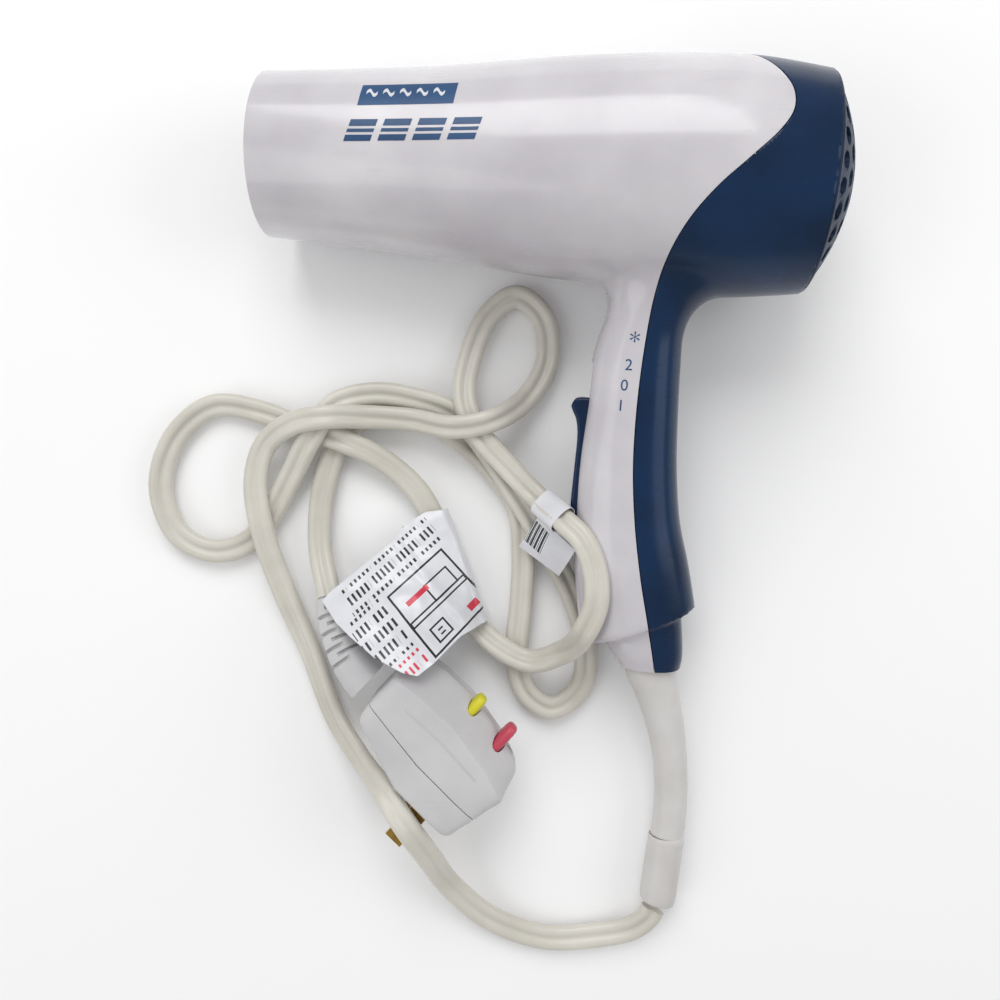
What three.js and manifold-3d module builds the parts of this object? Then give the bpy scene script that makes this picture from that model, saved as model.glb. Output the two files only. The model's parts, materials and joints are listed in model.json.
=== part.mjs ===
// A hand-held hair dryer with its flat cord, test plug and tags, lying on its side on a table.
// Millimetres, +Z up. Origin: on the table, under the middle of the dryer and its cord sleeve.
// The dryer is designed straight, in a frame of its own (x along the barrel from the nozzle's rim
// to the air inlet, y away from the handle, z towards the side that faces up), and is then laid
// down on its nozzle, barrel and handle. The plug is designed the same way in its own frame.
import * as THREE from "three";
import { mergeVertices } from "three/addons/utils/BufferGeometryUtils.js";
import Module from "manifold-3d";

const wasm = await Module();
wasm.setup();

// ---------------------------------------------------------------- driving dimensions

const GAP = 0.3; // between neighbouring pieces
const WALL = 2.2; // of the housing
const COLLAR_LIP = 1.2; // wall of the collar where the cord sleeve fills it
const BARREL = [
  [0, 25.7], [25, 27.1], [55, 29.2], [90, 33.0], [110, 34.7], [125, 35.6], [140, 36.0],
  [152, 35.9], [163, 34.8], [173.5, 33.4],
]; // distance from the rim, outer radius
const BARREL_END = 173.5;
const BARREL_SIDES = 32;
// How the handle's outline goes: front edge, back edge, half depth.
const HANDLE = [
  { front: [106, -27], back: [157, -27], depth: 20.5 },
  { front: [111, -34], back: [151, -34], depth: 17.5 },
  { front: [113.2, -39], back: [143.2, -39], depth: 15.6 },
  { front: [113.2, -44], back: [139.9, -44], depth: 14.7 },
  { front: [111.6, -50], back: [138.6, -49.5], depth: 14.2 },
  { front: [110.1, -58], back: [138.7, -58], depth: 14.0 },
  { front: [109.5, -72], back: [139.4, -73], depth: 14.0 },
  { front: [108.3, -91], back: [140.7, -91], depth: 14.2 },
  { front: [108.5, -110], back: [143.4, -109], depth: 14.6 },
  { front: [109.8, -127], back: [147.2, -122], depth: 15.0 },
  { front: [112.2, -143], back: [149.6, -131], depth: 14.9 },
  { front: [114.6, -153.6], back: [151.3, -138], depth: 14.65 },
];
const HANDLE_SIDES = 20;
const HANDLE_SQUARENESS = 2.3; // of its oval section; 2 is an ellipse
// The stepped-in end of the handle that the cord sleeve comes out of.
const COLLAR = [
  { front: [121.5, -146], back: [147, -141], depth: 11.2 },
  { front: [122.6, -153], back: [148.2, -149], depth: 11 },
  { front: [125.4, -157], back: [148.9, -156], depth: 10.6 },
  { front: [127.6, -160], back: [148.5, -159.5], depth: 9.6 },
];
// Where the front housing ends and the rear housing begins, from the barrel's top to the collar.
const SEAM = [
  [139, 44], [146, 37], [152, 31.5], [157, 25.5], [160, 19.5], [160, 13.5], [156.6, 7.5],
  [149, -0.5], [141, -8.5], [134.5, -17], [130.2, -26], [127.7, -37], [126.2, -52],
  [125.4, -72], [126, -92], [128.2, -110], [131.5, -127], [135.2, -142], [138.6, -156],
  [140.4, -166],
];
const GRILLE = {
  apex: 184.7, radius: 52, wall: 2, holeRadius: 2.4,
  rings: [[28, 25], [21.4, 19], [14.8, 13], [8.2, 7]], // ring radius, number of holes
};
const SLIDE = { low: -112.4, high: -71, halfWidth: 4.7, slotLow: -118.6, slotHigh: -59.4, inner: 115 };
const CORD = { width: 8.4, thickness: 4.2 }; // flat two-conductor flex
const PLUG = { squareness: 5, seam: -8, wall: 2 };
const BLADE = { length: 14.6, spacing: 12.7, thickness: 1.5, at: 12.6 };

// How the dryer lies: middle of its rim, and its pan, pitch and roll in degrees.
const DRYER_PLACE = { rim: [-90.4, 114.5, 25.6], pan: -4.75, pitch: 4.68, roll: 8.6 };
const PLUG_PLACE = { middle: [-36.8, -78.1, 17], pan: -44 };
// The cord sleeve and its ferrule, from inside the collar to the free cord: middle, half width,
// half height.
const SLEEVE = [
  [35.7, -52.1, 13.3, 8.6, 7.8], [35.9, -55.1, 13, 8.7, 7.9], [38.4, -64, 11.8, 7.4, 7.2],
  [41.3, -74.7, 10.2, 6.5, 6.5], [43.3, -86, 8.6, 5.9, 6], [44.1, -98, 7.3, 5.7, 5.7],
  [43.7, -108.9, 6.6, 5.7, 5.7], [42.8, -115.6, 6.4, 5.7, 5.7],
];
const FERRULE = [
  [42.75, -115.9, 6.4, 6, 6], [41.9, -121.5, 6.3, 6.2, 6.2], [39.5, -137.4, 6.3, 6.1, 6.1],
  [39.2, -138.9, 6.2, 5.2, 5.2],
];
// The free cord's middle line, from the ferrule to the plug's strain relief.
const CORD_ROUTE = [
  [38, -141.6, 6.1], [36.4, -144.7, 5.6], [30.8, -149.7, 3.6], [18.2, -152.6, 2.6],
  [0.5, -153.4, 2.4], [-18.3, -146.7, 3.2], [-32.2, -133, 8.7], [-39.8, -116.9, 21.5],
  [-47, -103.1, 29.5], [-54.3, -93.6, 25.5], [-64.5, -86.5, 10.8], [-73.8, -74.8, 3.6],
  [-82.1, -53.4, 2.4], [-92.4, -28.8, 4], [-98.7, -8.3, 7], [-101.3, 8.5, 5.6], [-97.8, 20.4, 6.4],
  [-87.3, 27.6, 12.5], [-75.3, 29.8, 14.2], [-62, 30.3, 9.1], [-46.5, 29.4, 8.2], [-31.9, 26.4, 14],
  [-18.9, 28.4, 14.8], [-6.8, 36.5, 6.8], [1.1, 50.3, 3.1], [-0.3, 66, 2.4], [-9.5, 73.5, 2.4],
  [-19.4, 67, 2.6], [-26.1, 51.5, 4.4], [-27.7, 36.2, 8.9], [-22.8, 24.6, 10.8], [-12.7, 12.9, 12],
  [-2.5, 2.2, 13.7], [5.2, -5.1, 26], [11.4, -11.5, 30], [15.1, -21.1, 31.5], [15.5, -32, 31.5],
  [11.7, -41.6, 30], [5.3, -50.7, 14.3], [-5.1, -54.6, 8.1], [-16.2, -49.6, 6.3],
  [-25.4, -40.9, 3.4], [-31.1, -27.6, 2.5], [-36.8, -10.9, 2.4], [-44.2, 4, 3], [-56, 14.9, 4.8],
  [-69.6, 21.9, 7.3], [-86.2, 27.3, 3.3], [-101.3, 33, 2.5], [-116.9, 34.8, 2.4], [-130, 24.5, 2.5],
  [-135.6, 6.8, 2.6], [-129.6, -10.2, 2.6], [-116.9, -16.6, 2.5], [-104.1, -13, 2.5],
  [-96.3, -2.8, 2.5], [-88.7, 10.3, 4.9], [-81.6, 22.3, 9.9], [-73.3, 34.6, 8.4],
  [-59.7, 38.6, 6.1], [-45.6, 36.9, 6], [-31.3, 31.7, 5.4], [-19.7, 18.3, 6.7], [-9.9, 3.6, 7.1],
  [0.3, -13.6, 5.9], [9.9, -32.1, 3.5], [14.6, -48.5, 2.6], [13.2, -64.4, 2.5], [2.9, -72.2, 2.6],
  [-6.3, -66.5, 2.6], [-9.5, -53.4, 2.4], [-8.1, -35.7, 2.4], [-7.3, -18, 2.4], [-9.1, -1.3, 2.4],
  [-18, 12.1, 2.4], [-31.5, 23.8, 2.4], [-45.6, 31.3, 2.4], [-60.9, 32.3, 2.4], [-71.9, 22.8, 2.4],
  [-78.2, 4.3, 2.5], [-78.9, -14.3, 4.5], [-74.5, -31.8, 9.8],
];
const CORD_STEPS = 92;
// The warning tag's corners and the price label's corners.
const TAG = [[-75.5, -32.8, 17], [-37.1, -2.3, 7.6], [-21.4, -41.7, 9.4], [-42.7, -54.9, 34.6]];
const TAG_THICKNESS = 0.5;
const LABEL = [[-8.8, -14.6, 6.8], [-2.2, -3.9, 14.2], [9.5, -15.2, 23.6], [4.8, -24.5, 12.6]];
const PAPER_THICKNESS = 0.4;

const FINISHES = {
  pearl: { color: 0xd2d0d6, roughness: 0.28, metalness: 0.05 },
  navy: { color: 0x123a5c, roughness: 0.25, metalness: 0.25 },
  grille: { color: 0x2a2c30, roughness: 0.5, metalness: 0.1 },
  vinyl: { color: 0xd4d0c4, roughness: 0.45, metalness: 0 },
  sleeve: { color: 0xcfcdc9, roughness: 0.5, metalness: 0 },
  plug: { color: 0xc9c8c8, roughness: 0.5, metalness: 0 },
  yellow: { color: 0xd9d531, roughness: 0.45, metalness: 0 },
  red: { color: 0xc4475a, roughness: 0.45, metalness: 0 },
  paper: { color: 0xe4e4e8, roughness: 0.5, metalness: 0 },
  brass: { color: 0xb08d45, roughness: 0.35, metalness: 1 },
  steel: { color: 0x9a9ca0, roughness: 0.35, metalness: 1 },
  nichrome: { color: 0x6f6a66, roughness: 0.4, metalness: 1 },
  mica: { color: 0xb5ab98, roughness: 0.6, metalness: 0 },
  nylon: { color: 0x26282b, roughness: 0.55, metalness: 0 },
  board: { color: 0x2f6b3c, roughness: 0.55, metalness: 0 },
};

// ---------------------------------------------------------------- solids and meshes

// A closed three.js geometry as a solid that can be joined and cut.
function solid(geometry) {
  const bare = geometry.clone();
  bare.deleteAttribute("normal");
  bare.deleteAttribute("uv");
  const merged = mergeVertices(bare, 1e-4);
  const corners = merged.index.array;
  const faces = [];
  for (let i = 0; i < corners.length; i += 3) {
    const [a, b, c] = corners.slice(i, i + 3);
    if (a !== b && b !== c && c !== a) faces.push(a, b, c);
  }
  const mesh = new wasm.Mesh({
    numProp: 3,
    vertProperties: new Float32Array(merged.attributes.position.array),
    triVerts: new Uint32Array(faces),
  });
  return new wasm.Manifold(mesh);
}

function geometryOf(made) {
  const mesh = made.getMesh();
  const geometry = new THREE.BufferGeometry();
  geometry.setAttribute("position", new THREE.BufferAttribute(mesh.vertProperties, 3));
  geometry.setIndex(new THREE.BufferAttribute(mesh.triVerts, 1));
  return geometry.toNonIndexed();
}

const joined = (...made) => made.reduce((all, next) => all.add(next));
const cutBy = (made, ...tools) => tools.reduce((left, tool) => left.subtract(tool), made);

function addPiece(group, name, shape, finish) {
  const geometry = shape.isBufferGeometry ? shape : geometryOf(shape);
  geometry.computeVertexNormals();
  const mesh = new THREE.Mesh(geometry, new THREE.MeshStandardMaterial(FINISHES[finish]));
  mesh.name = name;
  group.add(mesh);
}

// ---------------------------------------------------------------- basic shapes

// A box from its lowest to its highest corner.
function box(low, high) {
  const size = low.map((value, i) => high[i] - value);
  const middle = low.map((value, i) => (value + high[i]) / 2);
  return solid(new THREE.BoxGeometry(...size).translate(...middle));
}

// A round bar along x, y or z, from one place on it to another.
function bar(axis, from, to, radius, [a, b] = [0, 0], sides = 16) {
  const geometry = new THREE.CylinderGeometry(radius, radius, to - from, sides);
  const middle = (from + to) / 2;
  if (axis === "x") geometry.rotateZ(-Math.PI / 2).translate(middle, a, b);
  if (axis === "y") geometry.translate(a, middle, b);
  if (axis === "z") geometry.rotateX(Math.PI / 2).translate(a, b, middle);
  return solid(geometry);
}

// A body turned about the x axis. The outline is [along, radius] and runs round counterclockwise
// when the radius is drawn to the right and the length upwards.
function turned(outline, sides = BARREL_SIDES) {
  const points = outline.map(([along, radius]) => new THREE.Vector2(radius, along));
  return solid(new THREE.LatheGeometry(points, sides).rotateZ(-Math.PI / 2));
}

// A ring or short pipe about the x axis.
function pipe(from, to, inner, outer, sides = 32) {
  return turned([[from, inner], [from, outer], [to, outer], [to, inner], [from, inner]], sides);
}

// A flat outline in x and y, given counterclockwise, drawn out from one height to another.
function slab(outline, from, to) {
  const shape = new THREE.Shape(outline.map(([x, y]) => new THREE.Vector2(x, y)));
  const geometry = new THREE.ExtrudeGeometry(shape, { depth: to - from, bevelEnabled: false });
  return solid(geometry.translate(0, 0, from));
}

// A closed body through rings of points. Each ring turns counterclockwise seen from the last ring.
function loft(rings) {
  const count = rings[0].length;
  const positions = rings.flat().flatMap((p) => [p.x, p.y, p.z]);
  const indices = [];
  for (let i = 0; i + 1 < rings.length; i++) {
    for (let k = 0; k < count; k++) {
      const next = (k + 1) % count;
      const [a, b] = [i * count + k, i * count + next];
      const [c, d] = [a + count, b + count];
      indices.push(a, b, d, a, d, c);
    }
  }
  [0, rings.length - 1].forEach((ringIndex) => {
    const middle = new THREE.Vector3();
    rings[ringIndex].forEach((p) => middle.addScaledVector(p, 1 / count));
    const centre = positions.length / 3;
    positions.push(middle.x, middle.y, middle.z);
    for (let k = 0; k < count; k++) {
      const [a, b] = [ringIndex * count + k, ringIndex * count + ((k + 1) % count)];
      if (ringIndex === 0) indices.push(centre, b, a);
      else indices.push(centre, a, b);
    }
  });
  const geometry = new THREE.BufferGeometry();
  geometry.setAttribute("position", new THREE.Float32BufferAttribute(positions, 3));
  geometry.setIndex(indices);
  return solid(geometry);
}

// One ring: a rounded section about a middle, with half sizes along two directions.
function ring(middle, sideways, across, squareness, sides) {
  const bulge = (value) => Math.sign(value) * Math.abs(value) ** (2 / squareness);
  return Array.from({ length: sides }, (_, k) => {
    const angle = (k / sides) * 2 * Math.PI;
    return middle.clone()
      .addScaledVector(sideways, bulge(Math.cos(angle)))
      .addScaledVector(across, bulge(Math.sin(angle)));
  });
}

// A handle section between its front and back edges, drawn in by a wall.
function handleRing({ front, back, depth }, inset) {
  const [a, b] = [new THREE.Vector3(...front, 0), new THREE.Vector3(...back, 0)];
  const half = b.clone().sub(a).multiplyScalar(0.5);
  half.setLength(half.length() - inset);
  const middle = a.add(b).multiplyScalar(0.5);
  return ring(middle, half, new THREE.Vector3(0, 0, depth - inset), HANDLE_SQUARENESS, HANDLE_SIDES);
}

// A soft tube through stations of [x, y, z, half width, half height], widened by a margin.
function hose(stations, margin, sides) {
  const points = stations.map(([x, y, z]) => new THREE.Vector3(x, y, z));
  const up = new THREE.Vector3(0, 0, 1);
  const rings = stations.map(([, , , width, height], i) => {
    const ahead = points[Math.min(i + 1, points.length - 1)].clone();
    const along = ahead.sub(points[Math.max(i - 1, 0)]).normalize();
    const sideways = new THREE.Vector3().crossVectors(up, along).normalize();
    const across = new THREE.Vector3().crossVectors(along, sideways);
    return ring(points[i], sideways.multiplyScalar(width + margin),
      across.multiplyScalar(height + margin), 2.2, sides);
  });
  return loft(rings);
}

// ---------------------------------------------------------------- housings

function barrelBody(inset) {
  const reach = inset ? 2 : 0; // a hollow runs out past both ends
  const wall = BARREL.map(([along, radius]) => [along, radius - inset]);
  wall[0][0] -= reach;
  wall[wall.length - 1][0] += reach;
  return turned([[-reach, 0], ...wall, [BARREL_END + reach, 0]]);
}

function outerBody() {
  return joined(
    barrelBody(0),
    loft(HANDLE.map((station) => handleRing(station, 0))),
    loft(COLLAR.map((station) => handleRing(station, 0))),
  );
}

function hollow() {
  const shortened = HANDLE.slice(0, -1);
  const throat = { front: [121.5, -137], back: [146.5, -133], depth: 11.2 };
  const mouth = { ...COLLAR[3], front: [127, -159], back: [148.8, -158.5] };
  const opened = { ...COLLAR[3], front: [127.6, -166], back: [149, -165.5] };
  return joined(
    barrelBody(WALL),
    loft(shortened.map((station) => handleRing(station, WALL))),
    loft([throat, ...COLLAR.slice(0, 3)].map((station) => handleRing(station, WALL))),
    loft([COLLAR[2], mouth, opened].map((station) => handleRing(station, COLLAR_LIP))),
  );
}

// All that lies behind the seam, moved by a clearance.
function behindSeam(shift) {
  const curve = new THREE.SplineCurve(SEAM.map(([x, y]) => new THREE.Vector2(x + shift, y)));
  const edge = curve.getPoints(34).map(({ x, y }) => [x, y]);
  return slab([[230, 44], ...edge, [230, -166]], -60, 60);
}

function slideSlot() {
  const { slotLow, slotHigh, halfWidth } = SLIDE;
  return box([90, slotLow, -halfWidth - 0.4], [SLIDE.inner - 0.5, slotHigh, halfWidth + 0.4]);
}

function addHousings(group) {
  const shell = cutBy(outerBody(), hollow());
  const screwHoles = SCREWS.map(({ y }) => bar("x", 132, 170, SCREW.head + GAP, [y, 0]));
  addPiece(group, "front_housing", cutBy(shell, behindSeam(-GAP), slideSlot()), "pearl");
  addPiece(group, "rear_housing", cutBy(shell.intersect(behindSeam(0)), ...screwHoles), "navy");
}

// ---------------------------------------------------------------- air inlet and outlet

function addInletGrille(group) {
  const { apex, radius, wall, holeRadius, rings } = GRILLE;
  const centre = apex - radius;
  const arc = (arcRadius, from, to) => Array.from({ length: 6 }, (_, k) => {
    const reach = from + ((to - from) * k) / 5;
    return [centre + Math.sqrt(arcRadius ** 2 - reach ** 2), reach];
  });
  const skirt = 30.6;
  const dome = turned([
    ...arc(radius - wall, 0, skirt - 2), [166, skirt - 2], [166, skirt],
    [BARREL_END + GAP, skirt], [BARREL_END + GAP, 33.2], ...arc(radius, 32.9, 0),
  ], 24);
  const holes = rings.flatMap(([ringRadius, count]) => Array.from({ length: count }, (_, k) => {
    const angle = (k / count) * 2 * Math.PI;
    const place = [ringRadius * Math.cos(angle), ringRadius * Math.sin(angle)];
    return bar("x", 160, 190, holeRadius, place, 6);
  }));
  addPiece(group, "inlet_grille", cutBy(dome, joined(...holes)), "navy");
}

function addOutletGrille(group) {
  const [from, to] = [9, 11];
  const rings = [6, 12, 18].map((radius) => pipe(from, to, radius, radius + 1.2, 16));
  const rim = pipe(from - 1, to + 2, 22.4, 23.5, 24);
  const spokes = [0, 1, 2].map((k) => {
    const spoke = new THREE.BoxGeometry(1.6, 45.4, 1.2).translate((from + to) / 2, 0, 0);
    return solid(spoke.rotateX((k * Math.PI) / 3));
  });
  addPiece(group, "outlet_grille", joined(rim, ...rings, ...spokes), "grille");
}

// ---------------------------------------------------------------- heater

const HEATER = { from: 16, to: 86, half: 17.6, board: 0.8, coilRadius: 19.3, wire: 0.9 };

function addHeater(group) {
  const { from, to, half, board } = HEATER;
  const middle = (from + to) / 2;
  const slot = board / 2 + GAP;
  addPiece(group, "mica_liner", pipe(14, 88, 23.1, 23.7, 32), "mica");
  const flat = box([from, -half, -board / 2], [to, half, board / 2]);
  const flatSlot = box([middle - GAP, -slot, -9], [to + 9, slot, 9]);
  addPiece(group, "mica_board_flat", cutBy(flat, flatSlot), "mica");
  const upright = box([from, -board / 2, -half], [to, board / 2, half]);
  const uprightSlot = box([from - 9, -9, -slot], [middle + GAP, 9, slot]);
  addPiece(group, "mica_board_upright", cutBy(upright, uprightSlot), "mica");
  addPiece(group, "heater_coil_low", heaterCoil(20, 44, 4), "nichrome");
  addPiece(group, "heater_coil_high", heaterCoil(50, 76, 4), "nichrome");
  addPiece(group, "thermostat", box([66, 3, 0.8], [78, 11, 4.6]), "steel");
  addPiece(group, "thermal_fuse", bar("x", 64, 76, 1.7, [-7, 2.6], 10), "steel");
}

// A wire wound round the board edges.
function heaterCoil(from, to, turns) {
  const { coilRadius, wire } = HEATER;
  const points = Array.from({ length: turns * 12 + 1 }, (_, k) => {
    const angle = (k / 12) * 2 * Math.PI + 0.4;
    const along = from + ((to - from) * k) / (turns * 12);
    return new THREE.Vector3(along, coilRadius * Math.cos(angle), coilRadius * Math.sin(angle));
  });
  const section = new THREE.Shape([0, 1, 2, 3].map((k) => {
    const angle = ((k + 0.5) * Math.PI) / 2;
    return new THREE.Vector2(wire * Math.cos(angle), wire * Math.sin(angle));
  }));
  const extrudePath = new THREE.CatmullRomCurve3(points);
  return new THREE.ExtrudeGeometry(section, { steps: turns * 14, extrudePath, bevelEnabled: false });
}

// ---------------------------------------------------------------- fan and motor

const MOTOR = { can: 12, from: 97, to: 121, shaft: 1 };

function addMotor(group) {
  const { can, from, to, shaft } = MOTOR;
  const vanes = Array.from({ length: 8 }, (_, k) => {
    const vane = new THREE.BoxGeometry(12, 16.4, 1.2).translate(104, 21.8, 0);
    return solid(vane.rotateX(((k + 0.5) * Math.PI) / 4));
  });
  const hub = pipe(98, 110, can + GAP, can + 2, 24);
  const mount = joined(hub, pipe(98, 110, 29.6, 30.8, 32), ...vanes);
  addPiece(group, "motor_mount", mount, "nylon");
  const outline = [
    [from, shaft + 0.5], [from, can], [to, can], [to, can - 1.2], [from + 1.2, can - 1.2],
    [from + 1.2, shaft + 0.5], [from, shaft + 0.5],
  ];
  addPiece(group, "motor_can", turned(outline, 24), "steel");
  addPiece(group, "motor_end_cap", pipe(to + GAP, to + 2.3, shaft + 0.5, can, 24), "nylon");
  const windings = bar("x", from + 4, to - 5, 8.6, [0, 0], 12);
  const commutator = bar("x", to - 5.5, to - 1.5, 3, [0, 0], 10);
  const axle = bar("x", from - 2, 141, shaft, [0, 0], 10);
  addPiece(group, "motor_armature", joined(windings, commutator, axle), "steel");
  addPiece(group, "diode_board", box([90, -9, -1], [91.2, 9, 9]), "board");
}

function addFan(group) {
  const [from, to] = [128.5, 139.5];
  const bore = MOTOR.shaft + GAP;
  const hub = turned([
    [from, 11.2], [from, 13], [to - 1, 13], [to + 1, 9], [to + 1, bore], [to - 1.4, bore],
    [to - 1.4, 11.2], [from, 11.2],
  ], 24);
  const blades = Array.from({ length: 7 }, (_, k) => {
    const blade = new THREE.BoxGeometry(14, 18.6, 1.2).rotateY(0.75).translate(134.4, 21.4, 0);
    return solid(blade.rotateX((k * 2 * Math.PI) / 7));
  });
  const swept = pipe(from - 3, to + 3, 0, 31.2, 32);
  addPiece(group, "fan_impeller", joined(hub, ...blades.map((b) => b.intersect(swept))), "nylon");
}

// ---------------------------------------------------------------- switch, wires and clamp

function addSwitch(group) {
  const { low, high, halfWidth, inner } = SLIDE;
  const nose = [
    [109.6, high], [107.4, high], [105.6, high - 0.7], [104.5, high - 2.9], [105.1, high - 4.6],
    [106.4, high - 7.2], [107.2, high - 12], [107.1, high - 22], [106.9, low + 4], [107.5, low],
    [inner - GAP, low], [inner - GAP, high],
  ];
  addPiece(group, "slide_button", slab(nose, -halfWidth, halfWidth), "navy");
  addPiece(group, "switch_carriage", box([inner, -113, -7], [inner + 1.6, -63.4, 7]), "nylon");
  const contacts = [-104, -96, -88, -80].map((y) => box([130.8, y - 1, -3], [133.4, y + 1, 3]));
  const body = box([inner + 2, -110, -9], [131, -68, 9]);
  addPiece(group, "switch_body", joined(body, ...contacts), "nylon");
  addPiece(group, "capacitor", box([116.6, -62, -4.4], [125.4, -53, 4.4]), "red");
}

// A soft wire through a few points.
function wire(points, radius) {
  const extrudePath = new THREE.CatmullRomCurve3(points.map((p) => new THREE.Vector3(...p)));
  const section = new THREE.Shape().absarc(0, 0, radius, 0, 2 * Math.PI);
  return new THREE.ExtrudeGeometry(section, {
    steps: points.length * 3, curveSegments: 3, extrudePath, bevelEnabled: false,
  });
}

function addWires(group) {
  [["live", 1], ["neutral", -1]].forEach(([name, side]) => {
    const supply = [[132.6, -135.6, 2.2], [130, -130, 4.6], [127, -121, 6.4], [125, -111, 6.4]];
    const heater = [
      [121, -67.4, 7], [119.5, -55, 8], [120.5, -40, 6], [119, -28, 5], [112, -22, 4.4], [95, -20.5, 4.4],
    ];
    const mirrored = (points) => points.map(([x, y, z]) => [x, y, z * side]);
    addPiece(group, `supply_wire_${name}`, wire(mirrored(supply), 1.3), "vinyl");
    addPiece(group, `heater_wire_${name}`, wire(mirrored(heater), 1.1), "vinyl");
  });
}

const CLAMP = { x: [126.6, 142.2], y: [-145.4, -140.6], screws: [128.6, 140.2], hole: 1.35 };

function addClamp(group) {
  const { x, y, screws, hole } = CLAMP;
  const middle = (y[0] + y[1]) / 2;
  const holes = screws.map((at) => bar("z", -20, 20, hole, [at, middle], 10));
  const base = box([x[0], y[0], -6], [x[1], y[1], -3]);
  const bridge = box([x[0], y[0], 3], [x[1], y[1], 4.8]);
  addPiece(group, "cord_clamp_base", cutBy(base, ...holes), "nylon");
  addPiece(group, "cord_clamp_bridge", cutBy(bridge, ...holes), "nylon");
  screws.forEach((at, k) => {
    const shank = bar("z", -5.6, 5.2, 0.9, [at, middle], 8);
    const head = bar("z", 5.1, 6.4, 1.9, [at, middle], 12);
    addPiece(group, `clamp_screw_${k + 1}`, joined(shank, head), "steel");
  });
}

// ---------------------------------------------------------------- housing screws

const SCREW = { head: 2.9, shank: 1.3, recess: 3.2, length: 9 };
const SCREWS = [{ y: -57, back: 138.7 }, { y: -122, back: 147.2 }];

function addHousingScrews(group) {
  SCREWS.forEach(({ y, back }, k) => {
    const top = back - SCREW.recess + 2;
    const head = bar("x", top - 2, top, SCREW.head, [y, 0], 14);
    const shank = bar("x", top - SCREW.length, top - 1.9, SCREW.shank, [y, 0], 10);
    addPiece(group, `housing_screw_${k + 1}`, joined(head, shank), "steel");
  });
}

// ---------------------------------------------------------------- sleeve, ferrule and cord

const CORD_BORE = 0.5; // room round the cord inside the sleeve

function cordStations() {
  const inHandle = [[33.2, -35.4, 15.7], [34.4, -44.9, 14.3]];
  const through = [...SLEEVE, ...FERRULE].filter((_, i) => i !== SLEEVE.length);
  return [...inHandle, ...through.map(([x, y, z]) => [x, y, z])]
    .map((place) => [...place, CORD.width / 2, CORD.thickness / 2]);
}

function addSleeve(group) {
  const inner = cordStations();
  const past = [38.6, -142.5, 6.1, CORD.width / 2, CORD.thickness / 2];
  const bore = hose([...inner, past], CORD_BORE, 12);
  addPiece(group, "strain_relief_sleeve", cutBy(hose(SLEEVE, 0, 18), bore), "sleeve");
  addPiece(group, "sleeve_ferrule", cutBy(hose(FERRULE, 0, 18), bore), "sleeve");
  addPiece(group, "cord_in_handle", hose(inner, 0, 12), "vinyl");
}

// The free cord: one flat tube along its route.
function addCord(group) {
  const route = new THREE.CatmullRomCurve3(
    CORD_ROUTE.map((p) => new THREE.Vector3(...p)), false, "centripetal");
  const section = new THREE.Shape(Array.from({ length: 8 }, (_, k) => {
    const angle = ((k + 0.5) * Math.PI) / 4;
    return new THREE.Vector2(
      (CORD.thickness / 2) * 1.05 * Math.cos(angle), (CORD.width / 2) * 1.05 * Math.sin(angle));
  }));
  const options = { steps: CORD_STEPS, extrudePath: route, bevelEnabled: false };
  addPiece(group, "cord", new THREE.ExtrudeGeometry(section, options), "vinyl");
}

// ---------------------------------------------------------------- plug

const PLUG_LEVELS = [
  [-19, 25.6, 15.2], [-18, 27.2, 16.4], [-8, 28.2, 17], [7, 28.3, 17], [9, 28.2, 15.8],
  [18, 26.8, 6.6], [19, 25.4, 5.2],
]; // distance from the middle plane, half length, half height
const BUTTONS = { test: { x: 1.5, finish: "yellow" }, reset: { x: 15.5, finish: "red" } };
const BUTTON = { halfWidth: 2.1, low: 0.8, high: 9.6, proud: 21.6, foot: 10 };

function plugBody(inset) {
  const rings = PLUG_LEVELS.map(([y, length, height]) => ring(
    new THREE.Vector3(0, y - Math.sign(y) * inset, 0),
    new THREE.Vector3(0, 0, height - inset), new THREE.Vector3(length - inset, 0, 0),
    PLUG.squareness, 24));
  return loft(rings);
}

function bladeBox(side, margin) {
  const { length, spacing, thickness, at } = BLADE;
  const half = side > 0 ? 3.2 : 3.9;
  const middle = (side * spacing) / 2;
  return box(
    [at - half - margin, -19 - length, middle - thickness / 2 - margin],
    [at + half + margin, -13, middle + thickness / 2 + margin]);
}

function buttonBox({ x }, margin) {
  const { halfWidth, low, high, proud, foot } = BUTTON;
  return box([x - halfWidth - margin, foot, low - margin], [x + halfWidth + margin, proud, high + margin]);
}

function addPlug(group) {
  const shell = cutBy(plugBody(0), plugBody(PLUG.wall));
  const half = (low, high) => shell.intersect(box([-60, low, -60], [60, high, 60]));
  const slots = [1, -1].map((side) => bladeBox(side, GAP));
  const holes = Object.values(BUTTONS).map((button) => buttonBox(button, GAP));
  const lead = bar("x", -40, -24, 4.6, [-3, 0], 12);
  addPiece(group, "plug_wall_half", cutBy(half(-60, PLUG.seam), ...slots, lead), "plug");
  addPiece(group, "plug_button_half", cutBy(half(PLUG.seam + GAP, 60), ...holes), "plug");
  addPiece(group, "plug_strain_relief", plugRelief(), "plug");
  addPiece(group, "blade_narrow", bladeBox(1, 0), "brass");
  addPiece(group, "blade_wide", bladeBox(-1, 0), "brass");
  Object.entries(BUTTONS).forEach(([name, button]) => {
    addPiece(group, `${name}_button`, buttonBox(button, 0), button.finish);
    const { x } = button;
    addPiece(group, `${name}_contact_spring`, box([x - 5, 3.6, -2], [x + 3, 4, 2]), "brass");
  });
  addPiece(group, "plug_circuit_board", box([-22, -4, -12], [22, -2.4, 12]), "board");
  addPiece(group, "plug_relay", box([-20, -2, -9], [-8, 9, 7]), "nylon");
}

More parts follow.
